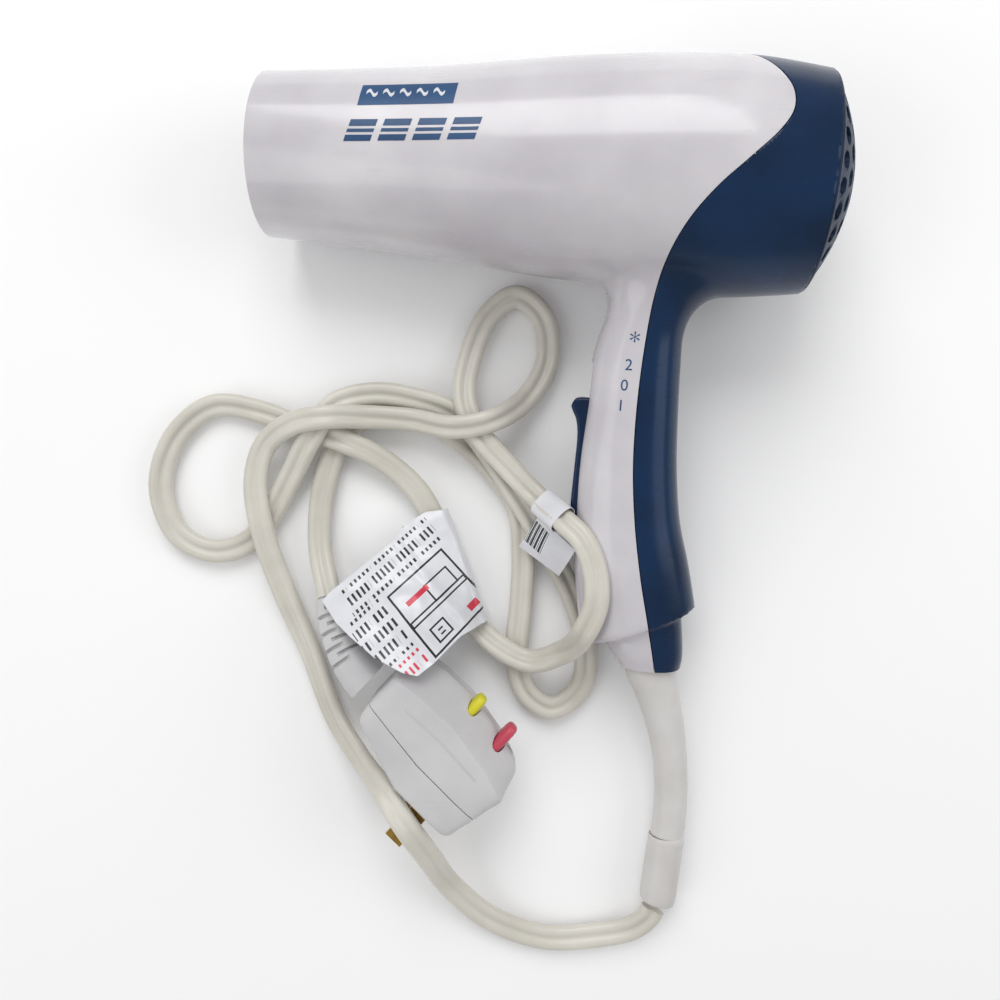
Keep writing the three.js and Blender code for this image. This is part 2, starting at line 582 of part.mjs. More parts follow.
// The ribbed boot, bending down to where the cord comes in.
function plugRelief() {
  const from = new THREE.Vector3(-29.6, -3, 0);
  const reach = { along: -28.6, across: 9.4, drop: -6.6 };
  const profile = [
    [0, 8.2], [0.22, 7], [0.3, 6.2], [0.36, 6.4], [0.4, 5.6], [0.46, 6.2], [0.5, 5.4], [0.56, 6],
    [0.6, 5.2], [0.66, 5.8], [0.7, 5.1], [0.76, 5.6], [0.8, 4.9], [0.9, 5.2], [1, 4.9],
  ]; // share of the length, radius
  const stations = profile.map(([share, radius]) => {
    const bend = share ** 2;
    const x = from.x + reach.along * share;
    const [y, z] = [from.y + reach.across * bend, from.z + reach.drop * bend];
    return [x, y, z, radius, radius * 0.94];
  });
  return hose(stations, 0, 16);
}

// ---------------------------------------------------------------- tag and label

// A thin sheet through four corners that drapes between them.
function sheet(corners, thickness, sag, steps) {
  const [a, b, c, d] = corners.map((p) => new THREE.Vector3(...p));
  const at = (s, t, lift) => {
    const place = a.clone().lerp(b, s).lerp(d.clone().lerp(c, s), t);
    place.z += lift - sag * Math.sin(Math.PI * s) * Math.sin(Math.PI * t);
    return place;
  };
  const rows = Array.from({ length: steps + 1 }, (_, i) => {
    const t = i / steps;
    const along = Array.from({ length: steps + 1 }, (_, k) => k / steps);
    const under = along.map((s) => at(s, t, 0));
    const over = along.map((s) => at(s, t, thickness)).reverse();
    return [...under, ...over];
  });
  return loft(rows);
}

function addTagAndLabel(group) {
  addPiece(group, "warning_tag", sheet(TAG, TAG_THICKNESS, 1.5, 6), "paper");
  addPiece(group, "price_label", sheet(LABEL, PAPER_THICKNESS, 0.6, 4), "paper");
}

// ---------------------------------------------------------------- assembly

const radians = THREE.MathUtils.degToRad;

function buildDryer() {
  const dryer = new THREE.Group();
  addHousings(dryer);
  addInletGrille(dryer);
  addOutletGrille(dryer);
  addHeater(dryer);
  addMotor(dryer);
  addFan(dryer);
  addSwitch(dryer);
  addWires(dryer);
  addClamp(dryer);
  addHousingScrews(dryer);
  const { rim, pan, pitch, roll } = DRYER_PLACE;
  dryer.rotation.set(radians(roll), radians(-pitch), radians(pan), "ZYX");
  dryer.position.set(...rim);
  return dryer;
}

function buildPlug() {
  const plug = new THREE.Group();
  addPlug(plug);
  plug.rotation.z = radians(PLUG_PLACE.pan);
  plug.position.set(...PLUG_PLACE.middle);
  return plug;
}

const hairDryer = new THREE.Group();
hairDryer.add(buildDryer(), buildPlug());
addSleeve(hairDryer);
addCord(hairDryer);
addTagAndLabel(hairDryer);

export default hairDryer;
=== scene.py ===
"""A pistol-grip hair dryer with its flat cord, test plug and tags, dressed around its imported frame.

Sizes are in millimetres. The dryer's pieces are modelled in the dryer's own frame (x along the
barrel from the nozzle's rim to the air inlet, y away from the handle, z towards the side that
faces up) and the plug's pieces in the plug's frame, and both are then laid down where the CAD
lays them.
"""

import json
import logging
import math
from dataclasses import dataclass
from enum import Enum
from functools import cache
from typing import Callable, Sequence

import bmesh
import bpy
import numpy as np
from mathutils import Matrix, Vector, noise

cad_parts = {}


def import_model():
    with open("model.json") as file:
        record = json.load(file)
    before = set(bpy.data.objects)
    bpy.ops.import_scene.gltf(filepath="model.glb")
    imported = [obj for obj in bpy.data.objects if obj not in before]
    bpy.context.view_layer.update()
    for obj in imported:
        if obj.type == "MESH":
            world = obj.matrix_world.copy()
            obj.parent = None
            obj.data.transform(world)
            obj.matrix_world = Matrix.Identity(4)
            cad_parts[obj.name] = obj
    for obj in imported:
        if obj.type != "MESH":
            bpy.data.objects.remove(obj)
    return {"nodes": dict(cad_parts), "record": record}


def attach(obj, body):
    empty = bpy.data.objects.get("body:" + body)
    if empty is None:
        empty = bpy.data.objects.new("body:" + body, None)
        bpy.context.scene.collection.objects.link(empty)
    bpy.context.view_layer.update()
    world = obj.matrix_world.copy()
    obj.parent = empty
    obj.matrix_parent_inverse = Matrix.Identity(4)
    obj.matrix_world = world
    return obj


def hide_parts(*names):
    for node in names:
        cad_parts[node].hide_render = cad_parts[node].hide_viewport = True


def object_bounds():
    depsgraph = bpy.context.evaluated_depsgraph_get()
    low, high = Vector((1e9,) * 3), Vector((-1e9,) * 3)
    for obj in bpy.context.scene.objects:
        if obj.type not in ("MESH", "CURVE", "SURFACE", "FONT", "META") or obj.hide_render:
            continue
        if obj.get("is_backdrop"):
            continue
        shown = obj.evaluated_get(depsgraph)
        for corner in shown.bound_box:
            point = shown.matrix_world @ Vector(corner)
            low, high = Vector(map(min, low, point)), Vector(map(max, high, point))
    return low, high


LOG = logging.getLogger("hair_dryer")
MM = 0.001
UP = Vector((0, 0, 1))
TUBE_SQUARENESS = 2.2

Point = tuple[float, float, float]
Station = tuple[tuple[float, float], tuple[float, float], float]


class Body(Enum):
    """The CAD bodies that pieces ride on."""

    DRYER = "dryer"
    SLIDE = "slide_switch"
    TEST = "test_button"
    RESET = "reset_button"


# ---------------------------------------------------------------- numbers and curves


def smoothstep(low: float, high: float, value: float) -> float:
    """A smooth 0 to 1 as value goes from low to high."""
    share = min(max((value - low) / (high - low), 0.0), 1.0)
    return share * share * (3 - 2 * share)


def smooth_line(points: Sequence[Sequence[float]], per_span: int) -> np.ndarray:
    """Draws a centripetal Catmull-Rom curve through points of any number of values.

    Args:
        points: The values at each station. The first three are a place or less.
        per_span: How many steps lie between two stations.

    Returns:
        The stations of the finer line, ends included.
    """
    given = np.array(points, float)
    padded = np.vstack([2 * given[0] - given[1], given, 2 * given[-1] - given[-2]])
    steps = np.sqrt(np.linalg.norm(np.diff(padded, axis=0), axis=1))
    line = []
    for i in range(1, len(padded) - 2):
        p0, p1, p2, p3 = padded[i - 1 : i + 3]
        t1 = steps[i - 1]
        t2, t3 = t1 + steps[i], t1 + steps[i] + steps[i + 1]
        for k in range(per_span):
            t = t1 + (t2 - t1) * k / per_span
            a1 = ((t1 - t) * p0 + t * p1) / t1
            a2 = ((t2 - t) * p1 + (t - t1) * p2) / (t2 - t1)
            a3 = ((t3 - t) * p2 + (t - t2) * p3) / (t3 - t2)
            b1 = ((t2 - t) * a1 + t * a2) / t2
            b2 = ((t3 - t) * a2 + (t - t1) * a3) / (t3 - t1)
            line.append(((t2 - t) * b1 + (t - t1) * b2) / (t2 - t1))
    line.append(given[-1])
    return np.array(line)


def rounded_ring(half_a: float, half_b: float, squareness: float, count: int) -> list[tuple[float, float]]:
    """A closed ring between an ellipse and a rectangle, in two plain directions."""
    def bulge(value: float) -> float:
        return math.copysign(abs(value) ** (2 / squareness), value)

    angles = [2 * math.pi * k / count for k in range(count)]
    return [(half_a * bulge(math.cos(a)), half_b * bulge(math.sin(a))) for a in angles]


# ---------------------------------------------------------------- modelling by hand


def activate(piece: bpy.types.Object) -> None:
    """Leaves only one object selected, and makes it the active one."""
    bpy.ops.object.select_all(action="DESELECT")
    piece.select_set(True)
    bpy.context.view_layer.objects.active = piece


def in_edit(piece: bpy.types.Object, work: Callable[[], None]) -> None:
    """Runs operators on a piece in edit mode, with everything selected to begin with."""
    activate(piece)
    bpy.ops.object.mode_set(mode="EDIT")
    bpy.ops.mesh.select_all(action="SELECT")
    work()
    bpy.ops.object.mode_set(mode="OBJECT")


def apply_modifier(piece: bpy.types.Object, kind: str, **settings: object) -> None:
    """Adds a modifier with its settings to a piece and applies it."""
    activate(piece)
    modifier = piece.modifiers.new(kind.title(), kind)
    for key, value in settings.items():
        setattr(modifier, key, value)
    bpy.ops.object.modifier_apply(modifier=modifier.name)


def grid_piece(
    name: str, across: int, along: int, place: Callable[[float, float], Sequence[float]],
    tube: bool = False,
) -> bpy.types.Object:
    """Adds a grid and shapes it, as a flat sheet or as a closed tube.

    Args:
        name: The piece's name.
        across: Cells in the first direction, round the tube where it is one.
        along: Cells in the second direction.
        place: Gives a corner's place from its two shares, each from 0 to 1.
        tube: Whether the first direction closes on itself and both ends are capped.

    Returns:
        The new object, with a UV map of the two shares.
    """
    bpy.ops.object.select_all(action="DESELECT")
    bpy.ops.mesh.primitive_grid_add(x_subdivisions=across, y_subdivisions=along, size=1)
    piece = bpy.context.active_object
    piece.name = piece.data.name = name
    for vertex in piece.data.vertices:
        share_a = round((vertex.co.x + 0.5) * across) / across
        share_b = round((vertex.co.y + 0.5) * along) / along
        vertex.co = place(share_a % 1.0 if tube else share_a, share_b)

    def close() -> None:
        bpy.ops.mesh.remove_doubles(threshold=1e-4)
        bpy.ops.mesh.fill_holes(sides=0)
        bpy.ops.mesh.normals_make_consistent(inside=False)

    if tube:
        in_edit(piece, close)
    return piece


def loft(name: str, rings: Sequence[Sequence[Sequence[float]]]) -> bpy.types.Object:
    """A closed body through rings that all have the same number of corners."""
    sides, spans = len(rings[0]), len(rings) - 1

    def place(share_a: float, share_b: float) -> Sequence[float]:
        return rings[round(share_b * spans)][round(share_a * sides) % sides]

    return grid_piece(name, sides, spans, place, tube=True)


def slab(name: str, outline: Sequence[tuple[float, float]], low: float, high: float) -> bpy.types.Object:
    """A flat outline in x and y, drawn out from one height to another."""
    bpy.ops.object.select_all(action="DESELECT")
    bpy.ops.mesh.primitive_circle_add(vertices=len(outline), fill_type="NGON")
    piece = bpy.context.active_object
    piece.name = piece.data.name = name
    for vertex, (x, y) in zip(piece.data.vertices, outline):
        vertex.co = (x, y, low)

    def thicken() -> None:
        bpy.ops.mesh.extrude_region_move(TRANSFORM_OT_translate={"value": (0, 0, high - low)})
        bpy.ops.mesh.select_all(action="SELECT")
        bpy.ops.mesh.normals_make_consistent(inside=False)

    in_edit(piece, thicken)
    return piece


def cut(piece: bpy.types.Object, at: Sequence[float], normal: Sequence[float], keep: str = "") -> None:
    """Cuts a piece with a plane and keeps one side of it or both.

    Args:
        piece: The piece to cut.
        at: A point of the plane.
        normal: The plane's direction.
        keep: "front" for the side that the normal points to, "back" for the other, or "" for both.
    """
    in_edit(piece, lambda: bpy.ops.mesh.bisect(
        plane_co=at, plane_no=normal, clear_inner=keep == "front", clear_outer=keep == "back"))


def smooth_shading(piece: bpy.types.Object, degrees: float = 35) -> None:
    """Shades a piece smooth, apart from edges sharper than an angle."""
    activate(piece)
    bpy.ops.object.shade_smooth_by_angle(angle=math.radians(degrees))


def join(pieces: Sequence[bpy.types.Object]) -> bpy.types.Object:
    """Joins pieces into the first of them."""
    activate(pieces[0])
    for piece in pieces:
        piece.select_set(True)
    bpy.ops.object.join()
    return pieces[0]


def copy_of(piece: bpy.types.Object, name: str) -> bpy.types.Object:
    """A copy of a piece with a mesh of its own."""
    twin = piece.copy()
    twin.data = piece.data.copy()
    twin.name = twin.data.name = name
    bpy.context.scene.collection.objects.link(twin)
    return twin


@dataclass(frozen=True)
class Placement:
    """Where a frame of its own lies: its origin, and its pan, pitch and roll in degrees."""

    origin: Point
    pan: float
    pitch: float = 0.0
    roll: float = 0.0

    def matrix(self) -> Matrix:
        """From millimetres in the frame to metres in the row frame."""
        turn = (
            Matrix.Rotation(math.radians(self.pan), 4, "Z")
            @ Matrix.Rotation(math.radians(-self.pitch), 4, "Y")
            @ Matrix.Rotation(math.radians(self.roll), 4, "X")
        )
        return Matrix.Scale(MM, 4) @ Matrix.Translation(self.origin) @ turn


ON_TABLE = Placement((0, 0, 0), 0)


def settle(
    piece: bpy.types.Object, where: Placement, body: Body, slot: str, finish: bpy.types.Material,
    replaces: Sequence[str] = (),
) -> bpy.types.Object:
    """Lays a finished piece in the row frame, dresses it and hands it to its body.

    Args:
        piece: The piece, modelled in millimetres in a frame of its own.
        where: That frame's place.
        body: The body that it moves with.
        slot: The record's material slot that it belongs to. Not used.
        finish: Its material.
        replaces: The CAD nodes that it stands for.

    Returns:
        The same piece.
    """
    piece.data.transform(where.matrix())
    piece.data.materials.clear()
    piece.data.materials.append(finish)
    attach(piece, body.value)
    if replaces:
        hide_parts(*replaces)
    LOG.info("%s: %d faces, on %s", piece.name, len(piece.data.polygons), body.value)
    return piece


# ---------------------------------------------------------------- finishes


def linear(colour: str) -> tuple[float, float, float, float]:
    """An sRGB hex colour as linear values with full alpha."""
    parts = [int(colour[i : i + 2], 16) / 255 for i in (1, 3, 5)]
    values = [p / 12.92 if p <= 0.04045 else ((p + 0.055) / 1.055) ** 2.4 for p in parts]
    return (*values, 1.0)


def add_node(
    tree: bpy.types.NodeTree, kind: str, settings: dict | None = None, links: dict | None = None,
) -> bpy.types.Node:
    """Adds a node, sets its properties and sockets, and links what feeds it.

    Args:
        tree: The material's node tree.
        kind: The node's type.
        settings: Values by the name of a property, or by the name or number of a socket.
        links: Outputs of other nodes by the name or number of the socket they feed.

    Returns:
        The new node.
    """
    node = tree.nodes.new(kind)
    for key, value in (settings or {}).items():
        if isinstance(key, int) or key in node.inputs:
            node.inputs[key].default_value = value
        else:
            setattr(node, key, value)
    for key, source in (links or {}).items():
        tree.links.new(source, node.inputs[key])
    return node


def calc(tree: bpy.types.NodeTree, operation: str, *terms: object) -> bpy.types.NodeSocket:
    """One sum on numbers or outputs of other nodes, and its result."""
    settings: dict = {"operation": operation}
    links: dict = {}
    for k, term in enumerate(terms):
        (links if isinstance(term, bpy.types.NodeSocket) else settings)[k] = term
    return add_node(tree, "ShaderNodeMath", settings, links).outputs[0]


def new_material(name: str) -> tuple[bpy.types.Material, bpy.types.NodeTree, bpy.types.Node]:
    """A material with its node tree and its principled shader."""
    material = bpy.data.materials.new(name)
    material.use_nodes = True
    return material, material.node_tree, material.node_tree.nodes["Principled BSDF"]


@dataclass(frozen=True)
class Finish:
    """What a surface is made of and how it was made.

    The grain is the fine relief of the surface, the mottle a slow change of tone across it, the
    scratches are the marks of handling, and the specks are dust and pits.
    """

    name: str
    colour: str
    shade: str
    roughness: float
    metallic: float = 0.0
    coat: float = 0.0
    ior: float = 1.5
    grain_mm: float = 0.5
    grain_depth_mm: float = 0.01
    mottle_mm: float = 25.0
    scratches: float = 0.0
    specks: float = 0.0
    subsurface: float = 0.0

    @cache
    def material(self) -> bpy.types.Material:
        """Builds the material once, with its patterns on object coordinates in metres."""
        material, tree, shader = new_material(self.name)
        place = add_node(tree, "ShaderNodeTexCoord").outputs["Object"]
        mottle = add_node(
            tree, "ShaderNodeTexNoise", {"Scale": 1 / (self.mottle_mm * MM), "Detail": 4.0},
            {"Vector": place})
        amount = add_node(
            tree, "ShaderNodeMapRange", {"From Min": 0.35, "From Max": 0.7}, {"Value": mottle.outputs["Fac"]})
        colour = add_node(
            tree, "ShaderNodeMixRGB", {"Color1": linear(self.colour), "Color2": linear(self.shade)},
            {"Fac": amount.outputs[0]}).outputs[0]
        wear = self._wear(tree, place)
        if wear is not None:
            colour = add_node(
                tree, "ShaderNodeMixRGB", {"Color2": linear(self.shade)},
                {"Fac": wear, "Color1": colour}).outputs[0]
        grain = add_node(
            tree, "ShaderNodeTexNoise", {"Scale": 1 / (self.grain_mm * MM), "Detail": 3.0}, {"Vector": place})
        rough = add_node(
            tree, "ShaderNodeMapRange",
            {"To Min": self.roughness * 0.85, "To Max": self.roughness * 1.2},
            {"Value": grain.outputs["Fac"]})
        rough_out = rough.outputs[0]
        if wear is not None:
            rough_out = calc(tree, "MULTIPLY_ADD", wear, 0.25, rough_out)
        bump = add_node(
            tree, "ShaderNodeBump", {"Strength": 0.6, "Distance": self.grain_depth_mm * MM},
            {"Height": grain.outputs["Fac"]})
        constants = {
            "Metallic": self.metallic, "IOR": self.ior, "Coat Weight": self.coat, "Coat Roughness": 0.12,
            "Subsurface Weight": self.subsurface, "Subsurface Scale": 0.002,
        }
        for key, value in constants.items():
            shader.inputs[key].default_value = value
        tree.links.new(colour, shader.inputs["Base Color"])
        tree.links.new(rough_out, shader.inputs["Roughness"])
        tree.links.new(bump.outputs[0], shader.inputs["Normal"])
        return material

    def _wear(self, tree: bpy.types.NodeTree, place: bpy.types.NodeSocket) -> bpy.types.NodeSocket | None:
        """The scratches and specks as one mask, or None where the finish has neither."""
        masks = []
        if self.scratches:
            for turn, stretch in ((0.5, 0.035), (-0.9, 0.05)):
                laid = add_node(
                    tree, "ShaderNodeMapping", {"Rotation": (0, 0, turn), "Scale": (stretch, 1, 1)},
                    {"Vector": place})
                streak = add_node(
                    tree, "ShaderNodeTexNoise", {"Scale": 1 / (1.1 * MM), "Detail": 1.0},
                    {"Vector": laid.outputs[0]})
                thin = add_node(
                    tree, "ShaderNodeMapRange",
                    {"From Min": 0.69, "From Max": 0.74, "To Max": self.scratches},
                    {"Value": streak.outputs["Fac"]})
                masks.append(thin.outputs[0])
        if self.specks:
            dots = add_node(tree, "ShaderNodeTexVoronoi", {"Scale": 1 / (7 * MM)}, {"Vector": place})
            spot = add_node(
                tree, "ShaderNodeMapRange",
                {"From Min": 0.035, "From Max": 0.025, "To Max": self.specks},
                {"Value": dots.outputs["Distance"]})
            masks.append(spot.outputs[0])
        while len(masks) > 1:
            masks.append(calc(tree, "MAXIMUM", masks.pop(), masks.pop()))
        return masks[0] if masks else None


# Pearl-white ABS, moulded in a polished tool: a soft gloss with handling scratches.
PEARL = Finish("pearl_abs_gloss", "#d6d3d7", "#bfbbc1", 0.2, coat=0.45, grain_mm=1.6, grain_depth_mm=0.004,
               scratches=0.35, specks=0.6, subsurface=0.04, mottle_mm=45)
# Navy ABS with metal flake in the resin: a deep gloss that brightens towards the light.
NAVY = Finish("navy_metallic_abs", "#0b2c4f", "#071f3a", 0.22, metallic=0.1, ior=1.35, grain_mm=0.35,
              grain_depth_mm=0.006, scratches=0.25, specks=0.3)
# The same navy without flake, from a matt tool: the cap over the fan.
NAVY_CAP = Finish("navy_abs_cap", "#0a294a", "#071d35", 0.42, ior=1.3, grain_mm=0.35, grain_depth_mm=0.006,
                  specks=0.3)
# Black-grey nylon with glass fibre, moulded: the outlet guard inside the nozzle.
GUARD = Finish("grey_nylon_guard", "#2c2d31", "#1d1e21", 0.5, grain_mm=0.4)
# Phlogopite mica sheet, pressed: flaky and silvery brown.
MICA = Finish("mica_sheet", "#b9ac93", "#96876c", 0.45, grain_mm=2.5, grain_depth_mm=0.05, specks=0.5)
# Nichrome resistance wire, drawn and once heated: dull grey brown.
NICHROME = Finish("nichrome_wire", "#7b736c", "#56504b", 0.38, metallic=1.0)
# Zinc plated steel, pressed: bright grey with a faint spangle.
STEEL = Finish("zinc_plated_steel", "#a7a9ad", "#85888d", 0.33, metallic=1.0, mottle_mm=4)
# Black nylon, moulded: satin.
NYLON = Finish("black_nylon", "#26282b", "#191a1d", 0.52)
# Glass-epoxy board under green solder mask.
BOARD = Finish("green_solder_mask", "#2f6b3c", "#234f2d", 0.4, mottle_mm=5)
# PVC flex, extruded: satin, slightly yellowed by age and grubby in places.
FLEX = Finish("cream_pvc_flex", "#d7d4ca", "#c2beb3", 0.36, coat=0.12, grain_mm=0.8, grain_depth_mm=0.01,
              mottle_mm=30, subsurface=0.05, specks=0.35)
# PVC sleeve, moulded over the cord: softer and greyer than the flex.
SLEEVE_VINYL = Finish("moulded_pvc_sleeve", "#d5d3d1", "#c4c1be", 0.42, grain_mm=0.9, grain_depth_mm=0.012,
                      subsurface=0.05, specks=0.3)
# Light grey ABS of the plug, moulded with a fine matt texture.
PLUG_ABS = Finish("light_grey_abs", "#cbcacb", "#bcbbbd", 0.42, grain_mm=0.45, grain_depth_mm=0.012,
                  scratches=0.2, specks=0.35)
# Yellow and red ABS of the buttons, moulded: satin.
YELLOW = Finish("yellow_abs", "#e2dd33", "#c9bf22", 0.38, grain_mm=0.6)
RED = Finish("red_abs", "#cf4c60", "#b03a4d", 0.38, grain_mm=0.6)
# Rolled brass of the plug blades, a little tarnished.
BRASS = Finish("rolled_brass", "#b8974e", "#8a6c34", 0.3, metallic=1.0, mottle_mm=3)
# Pad-printed navy ink: a thin satin film.
NAVY_INK = Finish("navy_pad_print_ink", "#1b4a78", "#173f66", 0.34, grain_mm=0.4, scratches=0.2)
PALE_INK = Finish("pale_pad_print_ink", "#d8d9df", "#c5c7cf", 0.34, grain_mm=0.4)


# ---------------------------------------------------------------- the dryer's housings


@dataclass
class Housing:
    """The pearl front housing and the navy rear housing, with the seam between them."""

    place: Placement
    barrel: Sequence[tuple[float, float]] = (
        (-4, 25.5), (0, 25.7), (25, 27.1), (55, 29.2), (90, 33.0), (110, 34.7), (125, 35.6), (140, 36.0),
        (152, 35.9), (163, 34.8), (173.5, 33.4), (177, 33.0),
    )
    barrel_end: float = 173.5
    handle: Sequence[Station] = (
        ((106, -24), (157, -24), 20.5), ((111, -34), (151, -34), 17.5), ((113.2, -39), (143.2, -39), 15.6),
        ((113.2, -44), (139.9, -44), 14.7), ((111.6, -50), (138.6, -49.5), 14.2),
        ((110.1, -58), (138.7, -58), 14.0), ((109.5, -72), (139.4, -73), 14.0),
        ((108.3, -91), (140.7, -91), 14.2), ((108.5, -110), (143.4, -109), 14.6),
        ((109.8, -127), (147.2, -122), 15.0), ((112.2, -143), (149.6, -131), 14.9),
        ((114.6, -153.6), (151.3, -138), 14.65),
    )
    collar: Sequence[Station] = (
        ((121.5, -146), (147, -141), 11.2), ((122.6, -153), (148.2, -149), 11.0),
        ((125.4, -157), (148.9, -156), 10.6), ((127.6, -160), (148.5, -159.5), 9.6),
        ((128.4, -163), (148.2, -162.5), 9.0),
    )
    seam: Sequence[tuple[float, float]] = (
        (139, 44), (146, 37), (152, 31.5), (157, 25.5), (160, 19.5), (160, 13.5), (156.6, 7.5),
        (149, -0.5), (141, -8.5), (134.5, -17), (130.2, -26), (127.7, -37), (126.2, -52), (125.4, -72),
        (126, -92), (128.2, -110), (131.5, -127), (135.2, -142), (138.6, -156), (140.4, -166),
    )
    wall: float = 1.9
    gap: float = 0.35
    slot_low: float = -118.6
    slot_high: float = -59.4
    slot_half_width: float = 5.1
    slot_depth: float = 114.5
    voxel: float = 1.0
    squareness: float = 2.3

    def radius(self, along: float) -> float:
        """The barrel's outer radius at a distance from the rim."""
        return float(np.interp(along, self._radii[:, 0], self._radii[:, 1]))

    def seam_at(self, height: float) -> float:
        """How far along the barrel the seam lies at a height in the dryer's frame."""
        return float(np.interp(height, self._seam[::-1, 1], self._seam[::-1, 0]))

    def __post_init__(self) -> None:
        """Works out the smooth curves."""
        self._radii = smooth_line(self.barrel, 8)
        self._seam = smooth_line(self.seam, 8)

    def build(self) -> None:
        """Models both housings and lays them down."""
        front = self._outer_skin()
        rear = copy_of(front, "rear_shell")
        front.name = front.data.name = "front_shell"
        self._keep_side(front, -self.gap, "back")
        self._keep_side(rear, 0, "front")
        self._cut_slot(front)
        for shell in (front, rear):
            apply_modifier(shell, "SOLIDIFY", thickness=self.wall, offset=-1, use_even_offset=True)
            apply_modifier(
                shell, "BEVEL", width=0.3, segments=2, limit_method="ANGLE", angle_limit=math.radians(60))
            smooth_shading(shell, 50)
        settle(front, self.place, Body.DRYER, "pearl_shell", PEARL.material(), ["front_housing"])
        settle(rear, self.place, Body.DRYER, "navy_shell", NAVY.material(), ["rear_housing"])

    def section(self, station: Sequence[float], sides: int) -> list[Vector]:
        """A ring round the handle between its front and back edges."""
        front, back, depth = Vector((*station[0:2], 0)), Vector((*station[2:4], 0)), station[4]
        middle, half = (front + back) / 2, (back - front) / 2
        ring = rounded_ring(1, depth, self.squareness, sides)
        return [middle + half * a + UP * b for a, b in ring]

    def _lofted(self, name: str, stations: Sequence[Station]) -> bpy.types.Object:
        """A smooth body through handle stations."""
        flat = [(*front, *back, depth) for front, back, depth in stations]
        return loft(name, [self.section(row, 64) for row in smooth_line(flat, 6)])

    def _outer_skin(self) -> bpy.types.Object:
        """The outside of both housings as one skin that is open at the rim, inlet and collar."""
        barrel = loft("barrel", [
            [(x, r * math.cos(a), r * math.sin(a)) for a in np.linspace(0, 2 * math.pi, 128, endpoint=False)]
            for x, r in self._radii
        ])
        skin = join([barrel, self._lofted("handle", self.handle), self._lofted("collar", self.collar)])
        apply_modifier(skin, "REMESH", mode="VOXEL", voxel_size=self.voxel)
        apply_modifier(skin, "SMOOTH", factor=0.5, iterations=5)
        self._soften_junction(skin)
        self._true_barrel(skin)
        cut(skin, (0, 0, 0), (1, 0, 0), keep="front")
        cut(skin, (self.barrel_end, 0, 0), (1, 0, 0), keep="back")
        cut(skin, (138, -159.8, 0), (0.03, -1, 0), keep="back")
        return skin

    def _soften_junction(self, skin: bpy.types.Object) -> None:
        """Blends the handle into the barrel with a soft fillet."""
        group = skin.vertex_groups.new(name="junction")
        for vertex in skin.data.vertices:
            x, y, _ = vertex.co
            weight = smoothstep(-46, -36, y) * (1 - smoothstep(-22, -12, y))
            weight *= smoothstep(88, 100, x) * (1 - smoothstep(164, 172, x))
            if weight > 0:
                group.add([vertex.index], weight, "REPLACE")
        apply_modifier(skin, "SMOOTH", factor=0.6, iterations=45, vertex_group=group.name)

    def _true_barrel(self, skin: bpy.types.Object) -> None:
        """Brings the barrel back to its exact round shape, away from the handle."""
        for vertex in skin.data.vertices:
            x, y, z = vertex.co
            clear = max(
                smoothstep(-24, -14, y), 1 - smoothstep(82, 94, x), smoothstep(164, 172, x))
            reach = math.hypot(y, z)
            if y < -45 or clear <= 0 or reach < 18:
                continue
            scale = 1 + clear * (self.radius(x) / reach - 1)
            vertex.co.y, vertex.co.z = y * scale, z * scale

    def _keep_side(self, shell: bpy.types.Object, shift: float, side: str) -> None:
        """Cuts the skin along the seam: it is slid until the seam is straight, cut and slid back."""
        for vertex in shell.data.vertices:
            vertex.co.x -= self.seam_at(vertex.co.y) + shift
        cut(shell, (0, 0, 0), (1, 0, 0), keep=side)
        for vertex in shell.data.vertices:
            vertex.co.x += self.seam_at(vertex.co.y) + shift

    def _cut_slot(self, shell: bpy.types.Object) -> None:
        """Opens the slot that the heat switch slides in."""
        for side in (-1, 1):
            cut(shell, (0, 0, side * self.slot_half_width), (0, 0, 1))
        cut(shell, (0, self.slot_low, 0), (0, 1, 0))
        cut(shell, (0, self.slot_high, 0), (0, 1, 0))
        mesh = bmesh.new()
        mesh.from_mesh(shell.data)
        inside = [
            face for face in mesh.faces
            if self.slot_low < face.calc_center_median().y < self.slot_high
            and abs(face.calc_center_median().z) < self.slot_half_width
            and face.calc_center_median().x < self.slot_depth
        ]
        bmesh.ops.delete(mesh, geom=inside, context="FACES")
        mesh.to_mesh(shell.data)
        mesh.free()


